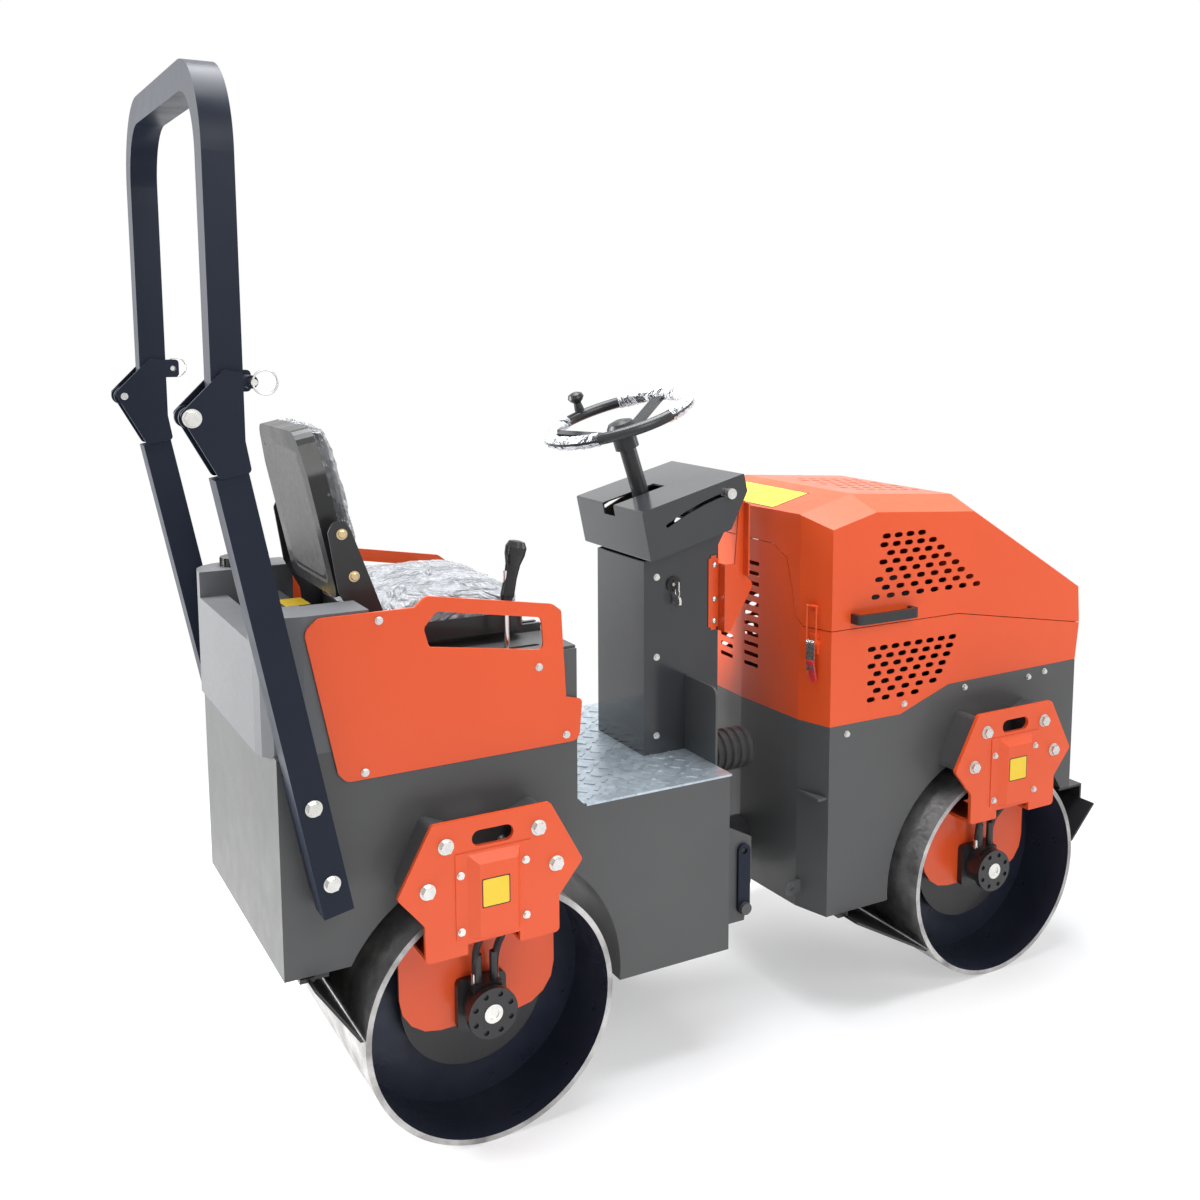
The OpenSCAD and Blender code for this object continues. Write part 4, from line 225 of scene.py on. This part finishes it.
# %% [markdown]
# ## Painting with nodes
# A powder-coated panel is never one flat colour. It has a faint mottle, a fine orange-peel skin and
# patches that are a little duller where hands and dust have been. One helper builds all of these
# from noise: a wide noise shifts the colour, a middling one shifts the roughness, and a fine one
# becomes a bump. What is the same all over, such as the coat, is set on the shader itself.

# %% A helper for finishes
def finish(name, colour, second, rough, spread=0.05, metal=0.0, grain=900, depth=0.00006, mottle=2.2,
           coat=0.0, scatter=0.5, shine=0.35):
    """A material that drifts between two colours, with a noisy roughness and a fine bump."""
    made = bpy.data.materials.new(name)
    made.use_nodes = True
    tree = made.node_tree
    shader = tree.nodes["Principled BSDF"]
    where = tree.nodes.new("ShaderNodeTexCoord")

    def cloud(size, detail):
        one = add_node(tree, "ShaderNodeTexNoise", Scale=size, Detail=detail)
        tree.links.new(where.outputs["Object"], one.inputs["Vector"])
        return one.outputs["Fac"]

    drift = tree.nodes.new("ShaderNodeValToRGB")
    drift.color_ramp.elements[0].position = 0.5 - scatter / 2
    drift.color_ramp.elements[1].position = 0.5 + scatter / 2
    drift.color_ramp.elements[0].color = (*colour, 1)
    drift.color_ramp.elements[1].color = (*second, 1)
    tree.links.new(cloud(mottle, 6), drift.inputs["Fac"])
    tree.links.new(drift.outputs["Color"], shader.inputs["Base Color"])

    dull = add_node(tree, "ShaderNodeMapRange", From_Min=0.3, From_Max=0.7,
                    To_Min=max(0.02, rough - spread), To_Max=min(1, rough + spread))
    tree.links.new(cloud(mottle * 7, 4), dull.inputs["Value"])
    tree.links.new(dull.outputs[0], shader.inputs["Roughness"])

    bump = add_node(tree, "ShaderNodeBump", Distance=depth, Strength=0.8)
    tree.links.new(cloud(grain, 2), bump.inputs["Height"])
    tree.links.new(bump.outputs["Normal"], shader.inputs["Normal"])
    shader.inputs["Metallic"].default_value = metal
    shader.inputs["Coat Weight"].default_value = coat
    shader.inputs["Specular IOR Level"].default_value = shine
    shader.inputs["Coat Roughness"].default_value = 0.12
    return made

# %% [markdown]
# ## The machine's paints
# The hood, guards and support plates are a warm orange powder coat. The frames and console are a dark
# neutral grey, and the roll bar and the arms are a darker blue-grey of a glossier kind.

# %% Paints
orange_paint = finish("orange_paint", (0.72, 0.088, 0.018), (0.66, 0.074, 0.014), 0.34, coat=0.15)
frame_paint = finish("frame_paint", (0.080, 0.081, 0.081), (0.064, 0.065, 0.066), 0.42, coat=0.08)
bar_paint = finish("bar_paint", (0.014, 0.019, 0.032), (0.010, 0.014, 0.025), 0.34, shine=0.14)
console_paint = finish("console_paint", (0.040, 0.042, 0.046), (0.032, 0.034, 0.038), 0.2,
                       spread=0.03, coat=0.3)
black_paint = finish("black_paint", (0.014, 0.014, 0.016), (0.022, 0.022, 0.023), 0.34, coat=0.2)
engine_grey = finish("engine_grey", (0.10, 0.10, 0.105), (0.055, 0.055, 0.058), 0.5, metal=0.6)

# %% [markdown]
# ## Bare and plated metals
# The drum is rolled steel. Its outside is scuffed by the road in small worn patches, and its
# inside is a dark mill scale with a blue cast. Bolts are bright zinc, and the foot floor is
# galvanised: zinc freezes in flat crystals, so a Voronoi pattern tints each one a little apart.

# %% Metals
drum_outside = finish("drum_outside", (0.56, 0.55, 0.54), (0.26, 0.255, 0.25), 0.46,
                      spread=0.16, metal=0.75, grain=260, depth=0.0004, mottle=16, scatter=0.34)
drum_inside = finish("drum_inside", (0.018, 0.022, 0.040), (0.030, 0.035, 0.055), 0.36,
                     spread=0.1, metal=0.3, grain=120, depth=0.0001, mottle=3.5)
zinc = finish("zinc", (0.74, 0.73, 0.70), (0.60, 0.60, 0.58), 0.26, metal=0.95, grain=1500, mottle=60)
chrome = finish("chrome", (0.80, 0.80, 0.80), (0.70, 0.70, 0.70), 0.12, spread=0.03, metal=1.0, mottle=30)
brass = finish("brass", (0.70, 0.55, 0.34), (0.60, 0.46, 0.26), 0.26, metal=1.0, mottle=80)

def galvanised(name):
    """Zinc coating with large flat crystals."""
    made = finish(name, (0.50, 0.57, 0.62), (0.40, 0.47, 0.53), 0.34, metal=0.7, grain=500)
    tree = made.node_tree
    shader = tree.nodes["Principled BSDF"]
    drift = next(n for n in tree.nodes if n.type == "VALTORGB")
    where = next(n for n in tree.nodes if n.type == "TEX_COORD")
    crystals = add_node(tree, "ShaderNodeTexVoronoi", Scale=70)
    tree.links.new(where.outputs["Object"], crystals.inputs["Vector"])
    bright = tree.nodes.new("ShaderNodeHueSaturation")
    level = add_node(tree, "ShaderNodeMapRange", To_Min=0.8, To_Max=1.25)
    tree.links.new(crystals.outputs["Color"], level.inputs["Value"])
    tree.links.new(level.outputs[0], bright.inputs["Value"])
    tree.links.new(drift.outputs["Color"], bright.inputs["Color"])
    tree.links.new(bright.outputs["Color"], shader.inputs["Base Color"])
    return made

floor_zinc = galvanised("floor_zinc")

# %% [markdown]
# ## Plastics, rubber and vinyl
# The water tank is moulded plastic with a fine, even grain, and it scatters light softly, so it looks
# chalky beside the paint. Hoses and mounts are rubber, and the seats are a stitched black vinyl
# whose leather-like cells come from a Voronoi bump.

# %% Plastics and rubber
tank_plastic = finish("tank_plastic", (0.118, 0.122, 0.128), (0.100, 0.104, 0.110), 0.5,
                      grain=420, depth=0.00035)
black_plastic = finish("black_plastic", (0.013, 0.013, 0.014), (0.020, 0.020, 0.021), 0.28, grain=700)
rubber = finish("rubber", (0.016, 0.016, 0.016), (0.026, 0.026, 0.026), 0.72, grain=600, depth=0.00015)
hose_rubber = finish("hose_rubber", (0.018, 0.018, 0.019), (0.028, 0.028, 0.029), 0.45,
                     grain=500, depth=0.0002)
red_plastic = finish("red_plastic", (0.55, 0.02, 0.02), (0.48, 0.015, 0.015), 0.35)
yellow_vinyl = finish("yellow_vinyl", (0.80, 0.56, 0.03), (0.74, 0.50, 0.02), 0.35, mottle=8, coat=0.2)
wheel_plastic = finish("wheel_plastic", (0.030, 0.031, 0.033), (0.022, 0.023, 0.025), 0.26,
                       grain=300, depth=0.0001)

def vinyl(name, colour, second):
    """Soft vinyl with a leather-like cell bump."""
    made = finish(name, colour, second, 0.42, spread=0.08, mottle=9)
    tree = made.node_tree
    where = next(n for n in tree.nodes if n.type == "TEX_COORD")
    bump = next(n for n in tree.nodes if n.type == "BUMP")
    cells = add_node(tree, "ShaderNodeTexVoronoi", Scale=420)
    cells.feature = "DISTANCE_TO_EDGE"
    tree.links.new(where.outputs["Object"], cells.inputs["Vector"])
    tree.links.new(cells.outputs["Distance"], bump.inputs["Height"])
    bump.inputs["Distance"].default_value = 0.0006
    tree.nodes["Principled BSDF"].inputs["Sheen Weight"].default_value = 0.15
    return made

seat_vinyl = vinyl("seat_vinyl", (0.014, 0.014, 0.015), (0.022, 0.022, 0.023))

# %% [markdown]
# The new seat still wears its clear film. Film is thin and has no inside, so a mix of a see-through
# shader and a sharp gloss stands for it. Fresnel adds gloss at glancing angles, and a crumple
# bump breaks the reflections into small bright shards.

# %% Clear film
def clear_film(name, haze_and_painted_reflection):
    """Clear film; the share it is given is how much pale gloss it shows where it is seen straight on: the
    film's own cloudiness, and where the share is large, a painted reflection.
    """
    made = bpy.data.materials.new(name)
    made.use_nodes = True
    tree = made.node_tree
    tree.nodes.clear()
    out = tree.nodes.new("ShaderNodeOutputMaterial")
    through = add_node(tree, "ShaderNodeBsdfTransparent", Color=(0.93, 0.94, 0.95, 1))
    gloss = add_node(tree, "ShaderNodeBsdfPrincipled", Base_Color=(0.75, 0.77, 0.8, 1), Roughness=0.07)
    where = tree.nodes.new("ShaderNodeTexCoord")
    folds = add_node(tree, "ShaderNodeTexNoise", Scale=9, Detail=2.5, Distortion=3.5)
    bump = add_node(tree, "ShaderNodeBump", Distance=0.05)
    rim = add_node(tree, "ShaderNodeFresnel", IOR=1.45)
    share = add_node(tree, "ShaderNodeMapRange", To_Min=haze_and_painted_reflection, To_Max=0.85)
    mix = tree.nodes.new("ShaderNodeMixShader")
    tree.links.new(where.outputs["Object"], folds.inputs["Vector"])
    tree.links.new(folds.outputs["Fac"], bump.inputs["Height"])
    tree.links.new(bump.outputs["Normal"], gloss.inputs["Normal"])
    tree.links.new(bump.outputs["Normal"], rim.inputs["Normal"])
    tree.links.new(rim.outputs["Fac"], share.inputs["Value"])
    tree.links.new(share.outputs[0], mix.inputs["Fac"])
    tree.links.new(through.outputs[0], mix.inputs[1])
    tree.links.new(gloss.outputs[0], mix.inputs[2])
    tree.links.new(mix.outputs[0], out.inputs["Surface"])
    return made

film = clear_film("clear_film", 0.11)
# The seat top's film shows a much larger share of pale gloss. This is a painted reflection that makes the
# top read bright.
seat_top_painted_reflection_film = clear_film("seat_top_painted_reflection_film", 0.42)

# %% [markdown]
# ## Dressing the CAD solids
# Each solid keeps its shape and only changes its coat. A table from finish to solids is easier to read
# and to check than a long run of assignments, and the last line proves that none was forgotten.

# %% Give every solid its finish
coats = [
    (frame_paint, "rear_frame toe_board rear_yoke front_frame seat_deck"),
    (console_paint, "console_tower dash_cover"),
    (bar_paint, "roll_bar_posts roll_bar_brackets roll_bar_hoop lock_bar"),
    (orange_paint, "side_guard_right side_guard_left console_bracket lower_hood upper_hood "
                   "rear_support_plates front_support_plates rear_motor_plates front_motor_plates"),
    (tank_plastic, "rear_water_tank"),
    (black_plastic, "tank_cap ignition_switch seat_back_shell lever_grip spinner_knob"),
    (black_paint, "steering_column seat_rails seat_pan hood_handles centre_joint steering_barrel "
                  "rear_drum_motors front_drum_motors rear_drum_hub front_drum_hub "
                  "rear_scraper front_scrapers"),
    (zinc, "rear_fasteners front_fasteners lock_pin_right lock_pin_left latch_right latch_left dash_knob "
           "ignition_key"),
    (chrome, "steering_rod drive_lever"),
    (floor_zinc, "floor_plate"),
    (engine_grey, "engine"),
    (rubber, "rear_rubber_mounts front_rubber_mounts engine_fan"),
    (hose_rubber, "air_duct"),
    (wheel_plastic, "steering_wheel"),
    (seat_vinyl, "seat_cushion seat_back_cushion"),
]
dressed = set()
for coat, names in coats:
    for name in names.split():
        mesh = nodes[name].data
        mesh.materials.clear()
        mesh.materials.append(coat)
        dressed.add(name)
print("bare solids:", sorted(set(nodes) - dressed - {"rear_drum_shell", "front_drum_shell"}))

# %% [markdown]
# A drum shell needs two finishes: road-worn outside and on the edges, mill scale inside. Each face is
# sorted by its distance from the axle, which is quicker and surer than picking faces by hand.

# %% Paint the drums inside and out
skin, wall = 0.004, 0.016
for name in ("rear_drum_shell", "front_drum_shell"):
    low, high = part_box(name)
    centre_x, centre_z = (low[0] + high[0]) / 2, (low[2] + high[2]) / 2
    outer = (high[2] - low[2]) / 2
    mesh = nodes[name].data
    mesh.materials.clear()
    mesh.materials.append(drum_outside)
    mesh.materials.append(drum_inside)
    for face in mesh.polygons:
        away = sqrt((face.center.x - centre_x) ** 2 + (face.center.z - centre_z) ** 2)
        on_edge = abs(face.normal.y) > 0.5 and away > outer - wall
        face.material_index = 0 if away > outer - skin or on_edge else 1
    print(name, "faces:", len(mesh.polygons))

# %% [markdown]
# ## Making a cushion
# A foam cushion is a rounded block whose top crowns, whose sides pull in between their corners and whose
# cover is sewn along channels. A finely divided cube gives clean rows for the channels. Each
# point is then pushed on to a rounded outline, first seen from above and then seen from the side.

# %% A rounded, crowned, sewn block
plan_power, top_power, foot_power = 7, 5, 12
waist_depth, crown_rise = 0.022, 0.10
channel_half, channel_depth, channel_reach = 0.035, 0.085, 0.8

def squeeze(a, b, power):
    """The factor that brings a point of the unit square on to a rounded square of that power."""
    most = max(abs(a), abs(b))
    if most < 1e-9:
        return 1
    return most / (abs(a) ** power + abs(b) ** power) ** (1 / power)

def cushion_point(p, size, taper, channels):
    """Takes a point of the cube from -1 to 1 to the cushion, whose underside is at z = 0."""
    x, y, z = p
    plan = squeeze(x, y, plan_power)
    rim = max(abs(x), abs(y))
    edge = squeeze(rim, z, top_power if z > 0 else foot_power)
    x, y, z = x * plan * edge, y * plan * edge, z * edge
    waist = 1 - waist_depth * (1 - min(1, abs(z)) ** 2) * (1 - min(abs(x * y), 1))
    crown = crown_rise * (1 - x * x) * (1 - y * y) if z > 0 else 0
    sewn = 0
    for at in channels:
        sewn += max(0, 1 - abs(x - at) / channel_half) ** 2
    if z > 0.3 and abs(y) < channel_reach:
        crown -= channel_depth * sewn * (1 - (abs(y) / channel_reach) ** 6)
    narrow = 1 - taper * max(0, -x / 2 - 0.22)
    place = Vector((x * size[0] / 2 * waist, y * size[1] / 2 * waist * narrow, 0))
    pucker = 0.0016 * noise.noise(place * 26) + 0.0007 * noise.noise(place * 90)
    place.z = size[2] * ((z + 1) / 2 + (crown - crown_rise) / 2) + (pucker if z > -0.9 else 0)
    return place

def cushion(name, size, place, taper=0.0, channels=(), cuts=44):
    """A closed cushion mesh, put in the model's frame by the matrix place."""
    grid = bmesh.new()
    bmesh.ops.create_cube(grid, size=2)
    bmesh.ops.subdivide_edges(grid, edges=grid.edges[:], cuts=cuts, use_grid_fill=True)
    for v in grid.verts:
        v.co = place @ cushion_point(v.co, size, taper, channels)
    for f in grid.faces:
        f.smooth = True
    bmesh.ops.recalc_face_normals(grid, faces=grid.faces[:])
    return from_bmesh(name, grid, seat_vinyl)

# %% [markdown]
# Piping is the thin sewn cord that hides a seam. It follows the cushion's own outline at one height, so
# the same function that shapes the cushion also gives the piping's path. The tube serves the hoses too.

# %% Tubes along a path
def tube(name, points, radius, coat, closed=False, sides=10):
    """A mesh tube along points; its rings turn with the path without twisting."""
    verts = []
    count = len(points)
    side = None
    for i, p in enumerate(points):
        before = points[i - 1] if i > 0 or closed else p
        after = points[(i + 1) % count] if i < count - 1 or closed else p
        along = (Vector(after) - Vector(before)).normalized()
        if side is None:
            side = along.orthogonal().normalized()
        side = (side - along * side.dot(along)).normalized()
        other = along.cross(side)
        for k in range(sides):
            a = 2 * pi * k / sides
            verts.append(Vector(p) + radius * (cos(a) * side + sin(a) * other))
    faces = between_rings(count, sides, closed)
    if not closed:
        faces += end_caps(count, sides)
    return surface(name, verts, faces, coat, smooth=True)

piping_r = 0.0028

def piping(name, size, place, height, taper=0.0, steps=120):
    """A sewn cord round the cushion at that height of the cube, from -1 to 1."""
    path = []
    for i in range(steps):
        a = 2 * pi * i / steps
        c, s = cos(a), sin(a)
        most = max(abs(c), abs(s))
        p = cushion_point((c / most, s / most, height), size, taper, ())
        path.append(place @ p)
    return tube(name, path, piping_r, seat_vinyl, closed=True, sides=8)

# %% [markdown]
# ## The seat and the backrest
# The CAD cushions are plain crowned blocks that hold the space. These pieces take it over. The seat
# is sewn along two channels and the backrest along two more, each under a piped seam. The seat's
# middle lies a little lower than the plain block's crown.

# %% Seat cushion
low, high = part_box("seat_cushion")
seat_sink = 0.024
cover_gap = 0.004
seat_size = (high[0] - low[0] - cover_gap, high[1] - low[1] - cover_gap, high[2] - low[2] - seat_sink)
seat_place = Matrix.Translation(((low[0] + high[0]) / 2, (low[1] + high[1]) / 2, low[2]))
seat = cushion("seat_pad", seat_size, seat_place, channels=(-0.3, 0.3))
seat_seam = piping("seat_piping", seat_size, seat_place, 0.28)
for piece in (seat, seat_seam):
    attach(piece, "seat")
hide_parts("seat_cushion")
print("seat:", [round(v, 3) for v in seat_size])

# %% Back cushion
# The backrest's own frame has its origin on the fold pivot and leans backwards.
back_lean = radians(-12)
back_face, back_middle = 0.042, 0.1285
back_size = (0.346, 0.339, 0.0707)
backrest_place = Matrix.Translation(back_fold) @ Matrix.Rotation(back_lean, 4, "Y")
back_inset = Matrix.Translation((back_face - back_size[2], 0, back_middle))
back_place = backrest_place @ back_inset @ Matrix.Rotation(pi / 2, 4, "Y")
back = cushion("back_pad", back_size, back_place, taper=0.5, channels=(-0.3, 0.35))
back_seam = piping("back_piping", back_size, back_place, 0.45, taper=0.5)
for piece in (back, back_seam):
    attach(piece, "backrest")
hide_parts("seat_back_cushion")
low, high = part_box("seat_back_cushion")
print("back solid:", [round(v, 3) for v in (*low, *high)])

# %% [markdown]
# ## The film over the seat
# The film is a bag pulled over each cushion. It follows the cushion a few millimetres off in ridged
# creases, so it is the same point function, a little larger and much more crumpled.

# %% Clear film bags
film_gap = (0.006, 0.006, 0.003)
wide_crease, fine_crease = 0.006, 0.0015

def film_bag(name, size, place, taper, body, clear, steps=56):
    """An open bag over the top and upper sides of a cushion."""
    grid = bmesh.new()
    bmesh.ops.create_cube(grid, size=2)
    bmesh.ops.subdivide_edges(grid, edges=grid.edges[:], cuts=steps, use_grid_fill=True)
    low_faces = [f for f in grid.faces if f.calc_center_median().z < -0.15]
    bmesh.ops.delete(grid, geom=low_faces, context="FACES")
    larger = [s + gap for s, gap in zip(size, film_gap)]
    for v in grid.verts:
        p = cushion_point(v.co, larger, taper, ())
        out = Vector((p.x, p.y, (p.z - size[2] * 0.5) * 2)).normalized()
        crease = (1 - abs(noise.noise(p * 17)) * 2) ** 4 * wide_crease
        crease += (1 - abs(noise.noise(p * 40))) ** 6 * fine_crease
        v.co = place @ (p + out * crease)
    for f in grid.faces:
        f.smooth = True
    piece = from_bmesh(name, grid, clear)
    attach(piece, body)

# The seat's film takes the brighter film with its painted reflection.
film_bag("seat_film", seat_size, seat_place, 0, "seat", seat_top_painted_reflection_film)
film_bag("back_film", back_size, back_place, 0.5, "backrest", film)

# %% [markdown]
# ## Plain squares on the covers
# A plain yellow vinyl square with a dark edge sits in the middle of each cover, a larger patch lies on
# the hood's sloped rear facet, and a small one on the seat deck. Each is two flat layers with rounded
# corners, set a hair above the paint.

# %% Yellow squares
corner_r = 0.003
square_side, square_z = 0.062, 0.579

def sticker(name, place, width, height, body, border=0.0022):
    """A plain square in two layers; place takes its XY plane to the surface."""
    layers = (("edge", 0, 0.0003, black_plastic), ("face", border, 0.0005, yellow_vinyl))
    for part, shrink, lift, coat in layers:
        w, h, r = width / 2 - shrink, height / 2 - shrink, corner_r
        loop = []
        corners = ((w - r, h - r, 0), (r - w, h - r, 90), (r - w, r - h, 180), (w - r, r - h, 270))
        for cx, cy, start in corners:
            for k in range(5):
                a = radians(start + 22.5 * k)
                loop.append(place @ Vector((cx + r * cos(a), cy + r * sin(a), lift)))
        piece = surface(name + "_" + part, loop, [tuple(range(len(loop)))], coat)
        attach(piece, body)

def facing_out(x, y, z, side):
    """A place on an upright face that looks to the right (side -1) or to the left (side 1)."""
    across = Vector((-side, 0, 0))
    above = Vector((0, 0, 1))
    face = Matrix((across, above, across.cross(above))).transposed()
    return Matrix.Translation((x, y, z)) @ face.to_4x4()

for body in ("rear", "front"):
    low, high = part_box(body + "_support_plates")
    for hand, side, y in (("right", -1, low[1]), ("left", 1, high[1])):
        place = facing_out((low[0] + high[0]) / 2, y, square_z, side)
        sticker(f"{body}_square_{hand}", place, square_side, square_side, body)

sloped = Matrix.Translation((0.335, 0.03, 1.2802)) @ Matrix.Rotation(radians(-14.43), 4, "Y")
sticker("roof_patch", sloped, 0.122, 0.29, "hood", border=0.004)
sticker("deck_patch", Matrix.Translation((-0.885, 0.085, 1.1100)), 0.06, 0.085, "rear")

# %% [markdown]
# ## Hoses to the drum motors
# Each drum motor is fed by two hydraulic hoses. They leave its top, swing out past the drum's rim, climb
# behind the support plate and go back in over the drum into the frame. A hose is stiff, so its
# curve is wide, and a crimped ferrule holds it at each fitting.

# %% Turned parts
def lathe(name, profile, place, coat, body, sides=24):
    """A turned piece: profile is a list of (radius, height) along the place's own Z."""
    verts = []
    for r, z in profile:
        for k in range(sides):
            a = 2 * pi * (k + 0.5) / sides
            verts.append(place @ Vector((r * cos(a), r * sin(a), z)))
    count = len(profile)
    piece = surface(name, verts, between_rings(count, sides) + end_caps(count, sides), coat)
    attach(piece, body)
    return piece

def smooth_path(points, steps=5):
    """A Catmull-Rom curve through the points."""
    pts = [Vector(p) for p in points]
    pts = [2 * pts[0] - pts[1], *pts, 2 * pts[-1] - pts[-2]]
    path = []
    for i in range(1, len(pts) - 2):
        a, b, c, d = pts[i - 1:i + 3]
        for k in range(steps):
            t = k / steps
            path.append(0.5 * (2 * b + (c - a) * t + (2 * a - 5 * b + 4 * c - d) * t * t
                               + (3 * b - a - 3 * c + d) * t ** 3))
    path.append(pts[-2])
    return path

# %% Hydraulic hoses
hose_d = 0.016
hose_apart = 0.022
# How far the two hoses have spread, how far they are from the machine's middle, and their height
hose_route = [(1, 0.335, 0.333), (1, 0.336, 0.370), (1.1, 0.346, 0.410), (1.2, 0.372, 0.450),
              (1.3, 0.393, 0.490), (1.4, 0.402, 0.530), (1.5, 0.402, 0.570), (1.6, 0.395, 0.606),
              (1.7, 0.374, 0.634), (1.8, 0.341, 0.645)]
ferrule = [(0.0085, -0.002), (0.0100, 0), (0.0100, 0.006), (0.0092, 0.007), (0.0092, 0.022), (0.0086, 0.024)]
for body in ("rear", "front"):
    low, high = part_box(body + "_drum_motors")
    axle = (low[0] + high[0]) / 2
    for hand, side in (("right", -1), ("left", 1)):
        for number, at in ((1, -hose_apart), (2, hose_apart)):
            route = [(axle + at * spread, side * y, z) for spread, y, z in hose_route]
            path = smooth_path(route, steps=3)
            name = f"{body}_hose_{hand}_{number}"
            hose = tube(name, path, hose_d / 2, hose_rubber, sides=14)
            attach(hose, body)
            for level, end, ahead in (("low", 0, 1), ("high", -1, -2)):
                along = (path[ahead] - path[end]).normalized()
                facing = along.to_track_quat("Z", "Y").to_matrix().to_4x4()
                place = Matrix.Translation(path[end]) @ facing
                lathe(f"{name}_ferrule_{level}", ferrule, place, zinc, body)

# %% [markdown]
# ## Small things on the seat
# The side plates of the seat are bolted twice on each side. The bolts are small, so they are made here
# and not in the solids.

# %% Bolts of the seat's side plates
plate_y = 0.2195
seat_bolt = [(0.0115, 0), (0.0115, 0.0015), (0.0078, 0.0016), (0.0078, 0.0062), (0.0068, 0.0075)]
for hand, side in (("right", -1), ("left", 1)):
    for number, (x, z) in enumerate(((0, 0), (-0.023, 0.089))):
        middle = (back_fold.x + x, side * plate_y, back_fold.z + z)
        place = Matrix.Translation(middle) @ Matrix.Rotation(side * -pi / 2, 4, "X")
        lathe(f"seat_bolt_{hand}_{number + 1}", seat_bolt, place, brass, "seat", sides=12)

# %% [markdown]
# ## The steering wheel's cap and film
# A domed cap covers the nut of the wheel. Two stretches of the rim are still wrapped in clear film.

# %% Dress the steering wheel
wheel_tilt = radians(-18)
wheel_place = Matrix.Translation(turning["pos_m"]) @ Matrix.Rotation(wheel_tilt, 4, "Y")
wheel_cap = [(0.0355, -0.0382), (0.0370, -0.034), (0.0365, -0.022), (0.0300, -0.012), (0.0150, -0.007),
             (0.004, -0.006)]
lathe("wheel_cap", wheel_cap, wheel_place, wheel_plastic, "wheel", sides=40)

ring_r, rim_r = 0.1745, 0.0135
rim_gap, rim_fold = 0.0006, 0.0035

def rim_film(name, first, last, steps=70, sides=16):
    """A crumpled strip of film round the rim between two angles in degrees, open at its seam."""
    verts = []
    for i in range(steps + 1):
        a = radians(first + (last - first) * i / steps)
        for k in range(sides):
            b = 2 * pi * (k + 0.5) / sides
            way = Vector((cos(a) * cos(b), sin(a) * cos(b), sin(b)))
            spot = Vector((ring_r * cos(a), ring_r * sin(a), 0))
            fold = (1 - abs(noise.noise((spot + way * 0.02) * 45))) ** 3 * rim_fold
            verts.append(wheel_place @ (spot + way * (rim_r + rim_gap + fold)))
    piece = surface(name, verts, between_rings(steps + 1, sides, seam=True), film, smooth=True)
    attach(piece, "wheel")

rim_film("rim_film_right", -75, 60)
rim_film("rim_film_left", 112, 225)

# %% [markdown]
# ## The strip of the orange bracket
# The hooked bracket is bent from one sheet. Its narrow strip lies on the console's side under three
# screws.

# %% Strip and screws
strip_size = Vector((0.029, 0.0025, 0.187))
strip_middle = Vector((0.0955, -0.1217, 1.0665))
strip = bmesh.new()
bmesh.ops.create_cube(strip, size=1)
for v in strip.verts:
    v.co = strip_middle + v.co * strip_size
through_edges = [e for e in strip.edges if abs(e.verts[0].co.y - e.verts[1].co.y) > strip_size.y / 2]
bmesh.ops.bevel(strip, geom=through_edges, offset=0.007, segments=5, affect="EDGES")
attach(from_bmesh("bracket_strip", strip, orange_paint), "rear")

screw_x, screw_y = 0.0985, -0.12295
screw_head = [(0.0072, 0), (0.0072, 0.0012), (0.0060, 0.0030), (0.0030, 0.0046)]
for number, z in enumerate((1.136, 1.0505, 0.9955)):
    place = Matrix.Translation((screw_x, screw_y, z)) @ Matrix.Rotation(pi / 2, 4, "X")
    lathe(f"bracket_screw_{number + 1}", screw_head, place, zinc, "rear", sides=20)

# %% [markdown]
# ## Grips on the latch levers
# Each wire latch has a lever whose lower end was dipped in red plastic.

# %% Dipped grips
grip_turn = radians(195.9)
grip_top = Vector((0.2875, -0.2875, 0.912))
grip_away = 0.018
grip_half_wide, grip_half_thick = 0.0136, 0.0042
# Each ring's size against the full one, and how far it hangs below the top
grip_rings = ((0.2, 0), (0.85, 0.002), (1, 0.006), (1, 0.036), (0.96, 0.052), (0.7, 0.058), (0.2, 0.060))
bend_drop, bend_slope = 0.019, 0.36

def latch_grip(name, mirrored, body, sides=16):
    """A flattened sleeve with rounded ends over the lever's lower end."""
    out = Vector((cos(grip_turn), sin(grip_turn), 0))
    across = Vector((-sin(grip_turn), cos(grip_turn), 0))
    top = grip_top + out * grip_away
    verts = []
    for share, drop in grip_rings:
        lean = max(0, drop - bend_drop) * bend_slope
        for k in range(sides):
            a = 2 * pi * k / sides
            wide, thick = grip_half_wide * share * cos(a), grip_half_thick * share * sin(a)
            p = top + across * wide + out * (thick - lean) - Vector((0, 0, drop))
            verts.append((p.x, -p.y if mirrored else p.y, p.z))
    count = len(grip_rings)
    faces = between_rings(count, sides) + end_caps(count, sides)
    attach(surface(name, verts, faces, red_plastic, smooth=True), body)

latch_grip("latch_grip_right", False, "latch_r")
latch_grip("latch_grip_left", True, "latch_l")
